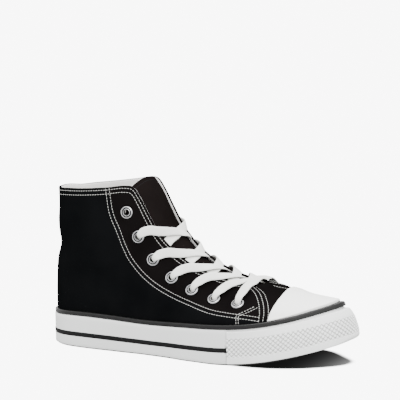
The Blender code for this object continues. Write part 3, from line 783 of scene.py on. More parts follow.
FINISHES = {
    # maker, darker tone, lighter tone, then for cloth its pitch, depth and gloss, and for rubber its
    # roughness, gloss, grain and coat
    "rear_canvas": (cloth, (0.0016, 0.0018, 0.0020), (0.0038, 0.0040, 0.0043), 0.0009, 0.00012, 0.0),
    "front_canvas": (cloth, (0.0021, 0.0018, 0.0018), (0.0050, 0.0042, 0.0042), 0.0009, 0.00012, 0.0),
    "tongue_canvas_outer": (cloth, (0.0032, 0.0025, 0.0024), (0.0070, 0.0054, 0.0052), 0.0009, 0.00012, 0.0),
    "white_lining": (cloth, (0.62, 0.61, 0.59), (0.78, 0.77, 0.75), 0.0007, 0.00008),
    "sock_cloth": (cloth, (0.60, 0.59, 0.56), (0.74, 0.73, 0.70), 0.0011, 0.00012),
    "lace_cotton": (cloth, (0.60, 0.60, 0.57), (0.86, 0.86, 0.83), 0.0013, 0.00035),
    "white_thread": (cloth, (0.28, 0.28, 0.27), (0.40, 0.40, 0.38), 0.0005, 0.00005),
    "dark_thread": (cloth, (0.006, 0.006, 0.006), (0.015, 0.015, 0.016), 0.0005, 0.00005, 0.0),
    "band_white": (rubber, (0.62, 0.63, 0.62), (0.70, 0.71, 0.70), 0.48),
    "bumper_white": (rubber, (0.70, 0.71, 0.70), (0.78, 0.79, 0.78), 0.5),
    # the darker rubber in the bumper's grooves is painted shade
    "bumper_gap": (rubber, (0.44, 0.44, 0.43), (0.52, 0.52, 0.51), 0.6, 0.2),
    "cap_white": (rubber, (0.78, 0.78, 0.76), (0.85, 0.85, 0.83), 0.34, 0.4, 0.00002, 0.15),
    "line_black": (rubber, (0.003, 0.003, 0.003), (0.006, 0.006, 0.006), 0.6, 0.1),
    "stripe_black": (rubber, (0.004, 0.004, 0.004), (0.008, 0.008, 0.0078), 0.42, 0.22),
    "sole_black": (rubber, (0.014, 0.013, 0.013), (0.03, 0.028, 0.027), 0.62, 0.4, 0.0001),
    "bright_eyelet": (metal, (0.30, 0.30, 0.31), (0.78, 0.78, 0.79)),
    "shaded_eyelet": (metal, (0.010, 0.010, 0.010), (0.04, 0.04, 0.04)),
}


def finish(name):
    maker, *values = FINISHES[name]
    return bpy.data.materials.get(name) or maker(name, *values)


# Pieces


def edged_rows(count, ends=0.0015):
    """Even shares from 0 to 1 with extra ones close to both ends, for a rounded edge."""
    even = np.linspace(0, 1, count)
    return np.unique(np.concatenate([even, [ends, 3 * ends, 1 - 3 * ends, 1 - ends]]))


def rim_stations(settings):
    return np.linspace(0, 2, settings.ring_divisions, endpoint=False)


def front_turn(share):
    return smooth(FRONT_EDGE, share)[..., 0]


def make_quarters(settings):
    """Both quarters as one cloth round the heel, with folded edges at the collar and in front."""
    count = settings.ring_divisions * 2 // 3
    across = np.linspace(-1, 1, count)
    shares = np.linspace(-0.03, 1, settings.height_divisions)
    share, place = np.meshgrid(np.maximum(shares, 0), across)
    station = np.mod(place * front_turn(share), 2)
    face = canvas(station, share, OVERLAY)
    below = np.meshgrid(np.minimum(shares, 0), across)[0]
    face[..., 2] += below * 0.06
    up = unit(face[:, -1:] - face[:, -2:-1])
    fold = [canvas(station[:, -1:], share[:, -1:], lift) + up * rise for lift, rise in QUARTER_FOLD]
    grid = np.concatenate([face, *fold], axis=1)
    rims = []
    for end in (0, -1):
        normal = np.concatenate([skin_normal(station[end], share[end]), np.zeros((len(fold), 3))])
        rims.append((grid[end] - normal * (OVERLAY + 0.0002))[None])
    grid = np.concatenate([rims[0], grid, rims[1]])
    keep = away_from_holes(grid, BARREL_RADIUS)
    seam = np.array(EYELET_SEAM)

    def tone(i, j):
        row = np.clip(i - 1, 0, count - 1)
        column = np.clip(j, 0, len(shares) - 1)
        turn = half_turn(station[row, column])[0]
        level = np.interp(turn, seam[:, 0], seam[:, 1], left=2.0, right=0.0)
        return (share[row, column] > level).astype(int)

    finishes = [finish("rear_canvas"), finish("front_canvas")]
    piece = grid_piece("quarters", grid, finishes, finish_of=tone, keep=keep)
    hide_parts("upper")
    return piece


def make_vamp(settings):
    """The cloth over the toes, under the quarters behind and the rubber cap in front."""
    stations = np.linspace(0.60, 1.40, settings.ring_divisions // 3)
    shares = np.linspace(0, 1, settings.height_divisions * 2 // 3)
    share, station = np.meshgrid(shares, stations)
    face = canvas(station, share, 0.0)
    top = [canvas(station[:, -1:], share[:, -1:], -depth) for depth in (0.0009, 0.0014)]
    grid = np.concatenate([face, *top], axis=1)
    piece = grid_piece("vamp", grid, [finish("front_canvas")], keep=away_from_holes(grid, BARREL_RADIUS))
    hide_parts("upper")
    return piece


def make_heel_stay(settings):
    """The strip over the heel seam, folded under along both sides."""
    across = np.linspace(-STAY_TURN, STAY_TURN, 25)
    shares = np.linspace(0, 0.993, settings.height_divisions)
    share, place = np.meshgrid(shares, across)
    lift = np.where(np.abs(np.abs(place) - STAY_TURN) < 1e-6, OVERLAY * 0.9, 2 * OVERLAY)
    lift[[1, -2]] = OVERLAY * 1.8
    grid = canvas(np.mod(place, 2), share, lift)
    top = canvas(np.mod(place[:, -1:], 2), share[:, -1:], OVERLAY * 0.9)
    piece = grid_piece("heel_stay", np.concatenate([grid, top], axis=1), [finish("rear_canvas")])
    return piece


def make_lining(settings):
    """The white inner cloth, whose rim shows just above the canvas."""
    stations = rim_stations(settings)
    shares = np.linspace(1, 0.0, settings.height_divisions // 2)
    share, station = np.meshgrid(shares, stations)
    inner = skin(station, share) - skin_normal(station, share) * WALL
    edge = skin(station[:, :1], share[:, :1])
    normal = skin_normal(station[:, :1], share[:, :1])
    up = unit(edge - skin(station[:, :1], share[:, :1] - 0.01))
    rim = [edge - normal * depth - up * drop for depth, drop in LINING_RIM]
    low = at_rise(stations, OUTSOLE_CORE + CLEARANCE, SIDE_THICKNESS + CLEARANCE + WALL, STRAIGHT)[:, None]
    grid = np.concatenate([*rim, inner[:, 1:], low], axis=1)
    keep = np.ones((len(stations), grid.shape[1] - 1), bool)
    keep[:-1] = away_from_holes(grid, BARREL_RADIUS)
    piece = grid_piece("lining", grid, [finish("white_lining")], wrap=True, keep=keep)
    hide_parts("upper")
    return piece


def make_toe_cap(settings):
    """The smooth rubber cap, cut straight across behind with a rounded edge."""
    start = float(to_turn(CAP_START)) + 0.004
    stations = np.linspace(start, 2 - start, 181)
    shares = np.linspace(0, 1, 200)
    columns = skin(stations[:, None] + 0 * shares, 0 * stations[:, None] + shares)
    cut = LENGTH * CAP_START
    ends = np.array([np.interp(-cut, -column[:, 0], shares) for column in columns])
    parts = 1 - (1 - np.linspace(0, 1, 45)) ** 1.6
    share = ends[:, None] * parts
    station = stations[:, None] + 0 * parts
    face = skin(station, share)
    normal = skin_normal(station, share)
    back = np.clip((face[..., 0] - cut) / CAP_CORNER, 0, 1)
    swell = CAP_SWELL * bell(face[..., 0], cut, 0.005) * (back > 0.9)
    thick = CAP_THICKNESS * (0.45 + 0.55 * ramp(share, 0.0, 0.012))
    lift = CLEARANCE + thick * np.sqrt(1 - (1 - back) ** 2) + swell
    grid = face + normal * lift[..., None]
    under = face[:, -1:] - normal[:, -1:] * 0.0002
    foot = face[:, :1] - normal[:, :1] * 0.0004
    foot[..., 2] -= 0.0012
    grid = np.concatenate([foot, grid, under], axis=1)
    piece = grid_piece("toe_cap_shell", grid, [finish("cap_white")])
    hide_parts("toe_cap")
    return piece


def winged(rows):
    """The tongue's rows with its sides carried on behind the eyelets."""
    depth = WALL + TONGUE_GAP
    wide = []
    columns = [TONGUE_COLUMNS[0], *TONGUE_COLUMNS, 0.70]
    for along, row in zip(columns, rows):
        sides = [[inside_upper(along, side, drop, depth) for drop in (0.031, 0.021)] for side in (1, -1)]
        wide.append(np.array([*sides[0], *row, *sides[1][::-1]]))
    rise = rows[0] - rows[1]
    for spot in (0, 1, -2, -1):
        wide[0][spot] += rise[0 if spot >= 0 else -1]
    return wide


def make_tongue(settings):
    """The canvas tongue with a white lined back and a bound top edge."""
    rows = winged(tongue_face())
    keys = np.arange(len(rows[0]))
    fine = np.linspace(0, keys[-1], 81)
    face = np.stack([smooth(np.column_stack([keys, row]), fine) for row in rows])
    runs = np.arange(len(face))
    down = np.linspace(0, runs[-1], 150)
    flat = smooth(np.column_stack([runs, face.reshape(len(face), -1)]), down)
    face = flat.reshape(len(down), len(fine), 3)
    along = np.gradient(face, axis=0)
    across = np.gradient(face, axis=1)
    normal = unit(np.cross(across, along))
    normal *= np.sign(normal[..., 2:3].mean())
    half = TONGUE_THICKNESS / 2
    middle = face - normal * half
    first = middle[:, :1] - unit(across[:, :1]) * half * 0.7
    last = middle[:, -1:] + unit(across[:, -1:]) * half * 0.7
    thick = half * np.ones(len(down))
    thick[:4] = half * np.array([0.45, 0.8, 0.95, 1.0])
    lift = normal * thick[:, None, None]
    grid = np.concatenate([middle + lift, last, (middle - lift)[:, ::-1], first], axis=1)
    columns = len(fine)

    def tone(i, j):
        back = (j > columns) & (j < 2 * columns)
        return (back | (i < 2)).astype(int)

    finishes = [finish("tongue_canvas_outer"), finish("white_lining")]
    piece = grid_piece("tongue_cloth", grid, finishes, close=True, finish_of=tone, caps=True)
    turned_outwards(piece)
    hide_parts("tongue")
    return piece


def make_insole(settings):
    """The cloth-covered footbed, a little higher round its edge."""
    inset = SIDE_THICKNESS + WALL + 3 * CLEARANCE
    stations = np.linspace(0, 2, 240, endpoint=False)
    low = OUTSOLE_CORE + CLEARANCE
    top = low + INSOLE_THICKNESS
    rings = []
    for rise, back in ((low, 0.0002), (top - 0.0012, 0.0), (top - 0.0003, 0.0004)):
        rings.append(at_rise(stations, rise, inset + back, STRAIGHT))
    edge = at_rise(stations, top, inset + 0.0014, STRAIGHT)
    for share in np.linspace(0, 1, 30):
        ring = edge.copy()
        ring[:, 1] *= 1 - share
        ring[:, 2] -= 0.0006 * ramp(share, 0.05, 0.4)
        rings.append(ring)
    piece = grid_piece("footbed", np.stack(rings, axis=1), [finish("sock_cloth")], wrap=True)
    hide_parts("insole")
    return piece


def rounded_band(stations, low, high, outer, inner, corner):
    """Sections of a strip round the sole with two rounded outer corners."""
    turns = np.linspace(0, math.pi / 2, 5)
    rounded = [(corner * (1 - math.sin(turn)), corner * (1 - math.cos(turn))) for turn in turns]
    section = [at_rise(stations, low, inner)]
    for rise, back in rounded[::-1]:
        section.append(at_rise(stations, low + rise, outer + back))
    for level in (0.25, 0.5, 0.75):
        section.append(at_rise(stations, low + corner + (high - low - 2 * corner) * level, outer))
    for drop, back in rounded:
        section.append(at_rise(stations, high - drop, outer + back))
    section.append(at_rise(stations, high, inner))
    return np.stack(section, axis=1)


def make_side_band(settings):
    """The white rubber strip round the sole, with a groove for the black line behind the bumper."""
    stations = rim_stations(settings)
    height = band_height(stations)
    low = OUTSOLE_RIM - SOLE_LINE + TIP_LIFT * ramp(half_turn(stations)[0], 0.80, 0.95)
    corner, soft = CUT_CORNER, 0.3 * CUT_CORNER
    front = ramp(half_turn(stations)[0], BUMPER_TURN - 0.004, BUMPER_TURN)
    seat = BUMPER_SEAT * front
    inner = SIDE_THICKNESS + 0 * seat
    middle = MID_STRIPE_PLACE * height
    half = MID_STRIPE_HEIGHT / 2 + CLEARANCE
    depth = GROOVE_DEPTH * (1 - front) + 0.0001
    shares = np.linspace(0, 1, 5)
    below = [(low + corner) * (1 - share) + (middle - half - GROOVE_LIP) * share for share in shares]
    above = [(middle + half + GROOVE_LIP) * (1 - share) + (height - corner) * share for share in shares]
    section = [(low, inner), (low, seat + corner), (low + soft, seat + soft)]
    section += [(rise, seat) for rise in below]
    section += [(middle - half, seat + GROOVE_LIP), (middle - half, seat + depth)]
    section += [(middle + half, seat + depth), (middle + half, seat + GROOVE_LIP)]
    section += [(rise, seat) for rise in above]
    section += [(height - soft, seat + soft), (height, seat + corner), (height, inner)]
    grid = np.stack([at_rise(stations, rise, inset) for rise, inset in section], axis=1)
    piece = grid_piece("side_band_rubber", grid, [finish("band_white")], wrap=True, close=True)
    turned_outwards(piece)
    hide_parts("side_band")
    return piece


def make_mid_stripe(settings):
    """The black line in the side band's groove, behind the bumper."""
    start = BUMPER_TURN + 0.001
    stations = np.linspace(2 - start, 2 + start, settings.ring_divisions * 2 // 3)
    middle = MID_STRIPE_PLACE * band_height(stations)
    half = MID_STRIPE_HEIGHT / 2 + STRIPE_SPREAD
    inner = GROOVE_DEPTH - CLEARANCE
    section = [at_rise(stations, middle - half, inner)]
    for share in np.linspace(-1, 1, 9):
        proud = STRIPE_PROUD * math.sqrt(max(0.0, 1 - (0.9 * share) ** 2))
        section.append(at_rise(stations, middle + half * share, -proud))
    section.append(at_rise(stations, middle + half, inner))
    grid = np.stack(section, axis=1)
    piece = grid_piece("mid_stripe_rubber", grid, [finish("line_black")], close=True, caps=True)
    turned_outwards(piece)
    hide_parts("mid_stripe")
    return piece


def make_top_stripe(settings):
    """The satin black strip above the side band, a little fuller round the toe."""
    stations = rim_stations(settings)
    height = band_height(stations)
    outer = TOP_STRIPE_SET_BACK - STRIPE_FULLNESS * ramp(half_turn(stations)[0], 0.86, 0.98)
    low, high = height + CLEARANCE, height + TOP_STRIPE_HEIGHT
    grid = rounded_band(stations, low, high, outer, SIDE_THICKNESS, STRIPE_CORNER)
    piece = grid_piece("top_stripe_rubber", grid, [finish("stripe_black")], wrap=True, close=True)
    turned_outwards(piece)
    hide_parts("top_stripe")
    return piece


def rounded_back(distance, corner):
    """How far a round corner lies back at a distance from its edge."""
    return corner * (1 - np.sqrt(1 - (1 - np.clip(distance / corner, 0, 1)) ** 2))


def make_toe_bumper(settings):
    """The second strip round the toe, with rows of small raised diamonds between two plain bands."""
    start = BUMPER_TURN + 0.002
    stations = np.linspace(start, 2 - start, 760)
    height = band_height(stations)
    tip = ramp(half_turn(stations)[0], 0.84, 0.97)
    low = OUTSOLE_RIM - SOLE_LINE - 0.0008 * tip
    top = height - BUMPER_MARGIN
    run = run_along(outline(stations))
    section = [at_rise(stations, low, BUMPER_THICKNESS + TIP_ROUNDING * tip)]
    pitch = settings.diamond_pitch
    faded = PLAIN_EDGE + 0.0010
    shaded_grooves = []
    for share in edged_rows(84, 0.008):
        rise = low + (top - low) * share
        zone = ramp(rise, low + PLAIN_EDGE, low + faded) * (1 - ramp(rise, top - faded, top - PLAIN_EDGE))
        across = (run + rise * 1.12) / pitch
        other = (run - rise * 1.12) / pitch
        wave = np.abs(np.sin(math.pi * across) * np.sin(math.pi * other))
        outer = rounded_back(rise - low, CUT_CORNER + TIP_ROUNDING * tip) - BUMPER_PROUD
        outer += rounded_back(top - rise, CUT_CORNER)
        outer += zone * settings.diamond_depth * (0.8 - np.minimum(1, 1.5 * wave) ** 0.8)
        outer -= tip * (TIP_FULLNESS * ramp(share, 0.5, 0.9) - 0.0007 * (1 - ramp(share, 0.2, 0.6)))
        # grooves between the diamonds take a darker rubber as painted shade
        shaded_grooves.append((zone > 0.5) & (wave < 0.2))
        section.append(at_rise(stations, rise, outer))
    section.append(at_rise(stations, top, BUMPER_THICKNESS + 0 * run))
    grid = np.stack(section, axis=1)
    shaded_grooves = np.stack([shaded_grooves[0], *shaded_grooves, shaded_grooves[0]], axis=1)

    def tone(i, j):
        return shaded_grooves[i, j].astype(int)

    finishes = [finish("bumper_white"), finish("bumper_gap")]
    piece = grid_piece("toe_bumper_rubber", grid, finishes, close=True, finish_of=tone, caps=True)
    turned_outwards(piece)
    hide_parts("toe_bumper")
    return piece


def make_outsole(settings):
    """The black outsole with a wavy tread cut into its underside."""
    stations = np.linspace(0, 2, 480, endpoint=False)
    rings = []
    inner = SIDE_THICKNESS + CLEARANCE
    for rise, inset in ((OUTSOLE_CORE, inner + 0.004), (OUTSOLE_CORE, inner), (OUTSOLE_RIM, inner)):
        rings.append(at_rise(stations, rise, inset, STRAIGHT))
    back = OUTSOLE_SET_BACK + RIM_SET_BACK + TIP_SET_BACK * ramp(half_turn(stations)[0], 0.7, 0.95)
    for rise, inset in ((OUTSOLE_RIM, 0.0001), (OUTSOLE_RIM - 0.0004, 0.0), (0.0006, 0.0), (0.0002, 0.0002)):
        rings.append(at_rise(stations, rise, back + inset))
    edge = at_rise(stations, 0.0, back + 0.0006)
    swing, length = TREAD_WAVE
    for share in np.linspace(0, 1, 72):
        ring = edge.copy()
        ring[:, 1] = edge[:, 1] * (1 - share)
        deep = ramp(np.abs(edge[:, 1]) * share, 0.0035, 0.0042) * ramp(ring[:, 0], 0.004, 0.005)
        deep *= 1 - ramp(ring[:, 0], LENGTH - 0.006, LENGTH - 0.005)
        wave = ring[:, 0] + swing * np.sin(math.tau * ring[:, 1] / length)
        groove = ramp(np.abs(np.sin(math.pi * wave / settings.tread_pitch)), 0.45, 0.25)
        ring[:, 2] += TREAD_DEPTH * groove * deep
        rings.append(ring)
    piece = grid_piece("outsole_rubber", np.stack(rings, axis=1), [finish("sole_black")], wrap=True)
    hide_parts("outsole")
    return piece


def make_eyelets(settings):
    """Fourteen rolled rings, turned from one profile and seated on the canvas."""
    turns = np.linspace(0, math.tau, 32, endpoint=False)
    count = len(EYELET_PROFILE)
    points, faces = [], []
    for place, normal in eyelet_places():
        turn_to = np.array(Vector(normal).to_track_quat("Z", "Y").to_matrix())
        base = len(points)
        for turn in turns:
            for radius, height in EYELET_PROFILE:
                local = np.array([radius * math.cos(turn), radius * math.sin(turn), height])
                points.append(turn_to @ local + place - MIDDLE)
        for i in range(len(turns)):
            here, after = base + i * count, base + (i + 1) % len(turns) * count
            for j in range(count - 1):
                faces.append([here + j, after + j, after + j + 1, here + j + 1])
    mesh = bpy.data.meshes.new("eyelet_rings")
    mesh.from_pydata([tuple(point) for point in points], [], faces)
    mesh.flip_normals()
    piece = add_piece("eyelet_rings", mesh, [finish("bright_eyelet"), finish("shaded_eyelet")])
    slots = [int(face % (count - 1) in SHADED_FACES) for face in range(len(faces))]
    mesh.polygons.foreach_set("material_index", slots)
    names = [f"eyelet_{word}_{row}" for word in ("outer", "inner") for row in range(1, len(EYELETS) + 1)]
    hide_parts(*names)
    return piece


def rising_side(row, side):
    """The lace from below an eyelet, out through it and in an arch up to the throat's edge."""
    point, normal = eyelet_places()[row if side == 1 else row + len(EYELETS)]
    below = EYELETS[row][1]
    arch = 0.3 + 0.7 * min(row / 4, 1)
    first = over_canvas(row_column(row + 0.15 - 0.05 * arch), side, below * 0.62, 0.0011 + 0.0018 * arch)
    half = over_canvas(row_column(row + 0.31 - 0.07 * arch), side, below * 0.31, 0.0009 + 0.0022 * arch)
    edge = over_canvas(row_column(row + EDGE_ROW), side, 0.0, 0.0010)
    toward = first[0] - point
    toward = unit(toward - normal * (toward @ normal))
    tilt = np.array([0.0, -0.4 * side * arch, 0.0])
    return [
        (point - normal * (WALL + 0.001), -toward, 0.52),
        (point + toward * 0.0004 + normal * 0.0006, -toward, 0.55),
        (point + toward * 0.0022 + normal * 0.0022, (normal - toward) / 1.4, 0.72),
        (first[0], first[1] + tilt, 1.0),
        (half[0], half[1] + tilt, 1.0),
        (*edge, 1.0),
    ]


def strand_points(row, side, lift):
    """The lace from an eyelet over the throat's edge and across the tongue, then up from below
    through the next eyelet of the other side: places, facings, and shares of the full width."""
    far, far_normal = eyelet_places()[row + 1 + (len(EYELETS) if side == 1 else 0)]
    crown = over_tongue(row_column(row + CROWN_ROW), 0.0, lift)
    beyond = over_tongue(row_column(row + 1.02), 0.42 * side, 0.0009)
    hidden = inside_upper(row_column(row + 1.08), -side, EYELETS[row + 1][1] * 0.4, WALL + 0.0008)
    hidden_normal = over_canvas(row_column(row + 1.08), -side, EYELETS[row + 1][1] * 0.4, 0)[1]
    return [
        *rising_side(row, side),
        (*crown, 1.0),
        (*beyond, 1.0),
        (hidden, hidden_normal, 0.9),
        (far - far_normal * (WALL + 0.0012), far_normal, 0.5),
    ]


def bar_points():
    """The lace straight over the lowest row, from one side's eyelet to the other's."""
    outer, inner = (rising_side(len(EYELETS) - 1, side) for side in (1, -1))
    middle = (outer[-1][0] + inner[-1][0]) / 2 + [0, 0, 0.0018]
    return [*outer, (middle, np.array([0.2, 0.0, 1.0]), 1.0), *inner[::-1]]


def lace_tube(points, settings):
    """Sections of a flat rounded lace along a route."""
    places = np.array([place for place, _, _ in points])
    facings = np.array([facing for _, facing, _ in points])
    widths = np.array([width for _, _, width in points])
    run = run_along(places)
    at = np.linspace(0, run[-1], int(run[-1] / 0.001) + 2)
    line = smooth(np.column_stack([run, places]), at)
    up = smooth(np.column_stack([run, facings]), at)
    wide = np.interp(at, run, widths)
    forward = np.gradient(line, axis=0)
    side = unit(np.cross(up, forward))
    up = unit(np.cross(forward, side))
    half = settings.lace_width / 2 * wide
    thick = settings.lace_thickness / 2 * (1 + 0.7 * (1 - wide))
    turns = np.linspace(0, math.tau, 16, endpoint=False)
    across = np.sign(np.cos(turns)) * np.abs(np.cos(turns)) ** 0.7
    rise = np.sign(np.sin(turns)) * np.abs(np.sin(turns)) ** 0.8
    out = side[:, None] * (half[:, None] * across)[..., None]
    out = out + up[:, None] * (thick[:, None] * rise)[..., None]
    return line[:, None] + out


def make_lace(settings):
    """One flat cotton lace, crossing between the rows and lying straight over the lowest one."""
    tubes = []
    for row in range(1, len(EYELETS) - 1):
        tubes.append(lace_tube(strand_points(row, -1, 0.0009), settings))
        tubes.append(lace_tube(strand_points(row, 1, 0.0023), settings))
    tubes.append(lace_tube(bar_points(), settings))
    strands = []
    for count, grid in enumerate(tubes):
        strand = grid_piece(f"strand_{count}", grid, [finish("lace_cotton")], close=True, caps=True)
        strands.append(turned_outwards(strand))
    piece = strands[0]
    chosen = dict(selected_editable_objects=strands, selected_objects=strands)
    with bpy.context.temp_override(active_object=piece, object=piece, **chosen):
        bpy.ops.object.join()
    piece.name = "lace"
    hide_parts(*[f"lace_crossing_{row}" for row in range(1, len(EYELETS) - 1)], "lace_bar")
    return piece


def stitch_rows(settings):
    """Each row of stitches as points and outward directions, with the thread's name."""
    rows = []

    def on_canvas(stations, shares, lift, thread="white"):
        stations, shares = np.asarray(stations, float), np.asarray(shares, float)
        points = canvas(stations, shares, lift)
        rows.append((points, skin_normal(stations, shares), thread))

    ends = float(front_turn(np.array([0.93]))[0])
    ring = np.linspace(-ends, ends, 700)
    for distance in COLLAR_ROWS:
        stations = np.mod(ring, 2)
        inner = 0.0013 * (1 - ramp(ring, -0.25, -0.12))
        on_canvas(stations, share_below(stations, distance + inner), OVERLAY)
    seam = np.array(EYELET_SEAM)
    run = np.linspace(seam[0, 0], seam[-1, 0] - 0.01, 200)
    seam_level = smooth(seam, run)[:, 0]
    for side in (1, -1):
        centre = skin(np.mod(side * run, 2), seam_level)
        normal = skin_normal(np.mod(side * run, 2), seam_level)
        forward = np.gradient(centre, axis=0)
        away = unit(np.cross(normal, forward))
        for shift in (-SEAM_SPACE, SEAM_SPACE):
            rows.append((centre + away * shift + normal * OVERLAY, normal, "white"))
        shares = np.linspace(0.0, 0.93, 120)
        for back, lift in FRONT_ROWS:
            turn = front_turn(shares)
            width = np.linalg.norm(skin(turn + 0.001, shares) - skin(turn - 0.001, shares), axis=1) / 0.002
            on_canvas(np.mod(side * (turn - back / width), 2), shares, lift)
        patch = np.array(PATCH_SEAM)
        for shift in (0.0, PATCH_SPACE):
            spots = np.linspace(0, 2, 60)
            turn = np.interp(spots, [0, 1, 2], patch[:, 0] + 1.5 * shift)
            level = np.interp(spots, [0, 1, 2], patch[:, 1] - np.array([0, 8, 12]) * shift)
            on_canvas(np.mod(side * turn, 2), np.maximum(level, 0), OVERLAY)
        shares = np.linspace(0.02, 0.985, 100)
        on_canvas(np.full(100, np.mod(side * (STAY_TURN - 0.012), 2)), shares, 2 * OVERLAY, "dark")
    on_canvas(np.linspace(1.035, 1.045, 60), np.linspace(0.93, 0.715, 60), 0.0)
    face = tongue_face()
    keys = np.arange(7)
    across = np.linspace(0.35, 5.65, 80)
    edge = smooth(np.column_stack([keys, face[0]]), across)
    next_row = smooth(np.column_stack([keys, face[1]]), across)
    down = unit(next_row - edge)
    normal = unit(np.cross(np.gradient(edge, axis=0), down))
    normal *= np.sign(normal[:, 0:1].mean())
    rows.append((edge + down * 0.004, normal, "dark"))
    return rows


def make_stitches(settings):
    """Every stitch as a small raised thread that dips into the cloth at both ends."""
    for thread in ("white", "dark"):
        points, faces = [], []
        for line, normals, kind in stitch_rows(settings):
            if kind != thread:
                continue
            run = run_along(line)
            pitch = settings.stitch_pitch
            for start in np.arange(0.0006, run[-1] - pitch, pitch):
                at = start + np.linspace(0, settings.stitch_length, 4)
                spine = np.stack([np.interp(at, run, line[:, n]) for n in range(3)], axis=1)
                up = np.stack([np.interp(at, run, normals[:, n]) for n in range(3)], axis=1)
                side = unit(np.cross(up, spine[-1] - spine[0]))
                base = len(points)
                for k, swell in enumerate((0.45, 1.0, 1.0, 0.45)):
                    for turn in np.linspace(0, math.tau, 6, endpoint=False):
                        wide = settings.thread_width / 2 * swell * math.cos(turn)
                        high = settings.thread_width / 3 * swell * math.sin(turn) + 0.0001 * (swell - 0.6)
                        points.append(spine[k] + side[k] * wide + up[k] * high - MIDDLE)
                for ring in range(base, base + 18, 6):
                    for n in range(6):
                        m = (n + 1) % 6
                        faces.append([ring + n, ring + m, ring + 6 + m, ring + 6 + n])
                faces.append([base + n for n in range(6)][::-1])
                faces.append([base + 18 + n for n in range(6)])
        mesh = bpy.data.meshes.new(f"stitches_{thread}")
        mesh.from_pydata([tuple(point) for point in points], [], faces)
        mesh.uv_layers.new(name="UVMap")
        piece = add_piece(f"stitches_{thread}", mesh, [finish(f"{thread}_thread")], smooth_to=80)


def floor_light(spots):
    """The share of the light that reaches spots of the floor: little under the sole, and more
    towards the tip, where the toe stands higher above the floor."""
    x, y = spots[:, 0] + LENGTH / 2, spots[:, 1]
    share = np.clip(x / LENGTH, 0, 1)
    turn = to_turn(share)
    inside = (x > 0) & (x < LENGTH) & (y > outline(turn)[:, 1]) & (y < outline(2 - turn)[:, 1])
    rim = outline(np.linspace(0, 2, 480, endpoint=False))
    away = np.array([np.hypot(rim[:, 0] - a, rim[:, 1] - b).min() for a, b in zip(x, y)])
    rise = sole_under(share * LENGTH) / TOE_SPRING
    floor = 0.001 + 0.07 * rise**4.7
    return 1 - (1 - floor) * inside * ramp(away, 0.0035, 0.0085)


def make_floor(settings):
    """A wide floor with small cells under the shoe, where its shade lies."""
    mesh = bpy.data.meshes.new("floor")
    lines = []
    for reach, count in ((0.16, 161), (0.07, 141)):
        lines.append(np.concatenate([[-20.0], np.linspace(-reach, reach, count), [20.0]]))
    x, y = np.meshgrid(*lines, indexing="ij")
    spots = np.stack([x, y, 0 * x], axis=-1).reshape(-1, 3)
    rows, columns = x.shape
    first = (np.arange(rows - 1)[:, None] * columns + np.arange(columns - 1)).ravel()
    faces = np.stack([first, first + columns, first + columns + 1, first + 1], axis=1)
    mesh.from_pydata(spots.tolist(), [], faces.tolist())
    light = mesh.attributes.new("light", "FLOAT", "POINT")
    light.data.foreach_set("value", floor_light(spots))
    mesh.materials.append(floor_finish(settings))
    add_to_scene("floor", mesh)


def make_surround(settings):
    """White light from all round, with a brighter white behind the shoe."""
    world = bpy.data.worlds.new("studio")
    world.use_nodes = True
    tree = world.node_tree
    link = tree.links.new
    around = tree.nodes["Background"]
    around.inputs["Color"].default_value = (1.0, 1.0, 1.0, 1.0)
    around.inputs["Strength"].default_value = settings.surround_strength
    behind = node(tree, "ShaderNodeBackground", in_Strength=settings.backdrop_strength)
    seen = node(tree, "ShaderNodeMixShader")
    link(node(tree, "ShaderNodeLightPath").outputs["Is Camera Ray"], seen.inputs[0])
    link(around.outputs[0], seen.inputs[1])
    link(behind.outputs[0], seen.inputs[2])
    link(seen.outputs[0], tree.nodes["World Output"].inputs["Surface"])
    bpy.context.scene.world = world


def make_lights(settings):
    """Two soft round lights, one in front and one above."""
    for name, place, aim, size, power in (
        ("key_light", (0.9, -1.2, 1.7), (0.02, 0, 0.06), 1.3, settings.key_power),
        ("top_light", (-0.4, 0.5, 1.9), (0, 0, 0.05), 1.6, settings.top_power),
    ):
        light = bpy.data.lights.new(name, "AREA")
        light.shape = "DISK"
        light.size = size
        light.energy = power
        lamp = add_to_scene(name, light)
        lamp.location = place
        lamp.rotation_euler = (Vector(aim) - Vector(place)).to_track_quat("-Z", "Y").to_euler()


def make_camera(settings):
    """The camera, turned about the point that it looks at."""
    yaw, rise, roll = settings.camera_yaw, settings.camera_rise, settings.camera_roll
    back = Vector((math.sin(yaw) * math.cos(rise), -math.cos(yaw) * math.cos(rise), math.sin(rise)))
    right = (-back).cross(Vector((0, 0, 1))).normalized()
    up = right.cross(-back)
    right, up = right * math.cos(roll) + up * math.sin(roll), up * math.cos(roll) - right * math.sin(roll)
    ahead = (-back + right * math.tan(settings.aim_aside) + up * math.tan(settings.aim_up)).normalized()
    right = (right - ahead * right.dot(ahead)).normalized()
    up = right.cross(ahead)
    lens = bpy.data.cameras.new("camera")
    lens.sensor_fit = "HORIZONTAL"
    lens.sensor_width = 36.0
    lens.lens = settings.focal_length
    lens.clip_end = 60.0
    camera = add_to_scene("camera", lens)
    matrix = Matrix((right, up, -ahead)).transposed().to_4x4()
    matrix.translation = Vector((0, 0, settings.aim_height)) + back * settings.camera_distance
    camera.matrix_world = matrix
    bpy.context.scene.camera = camera


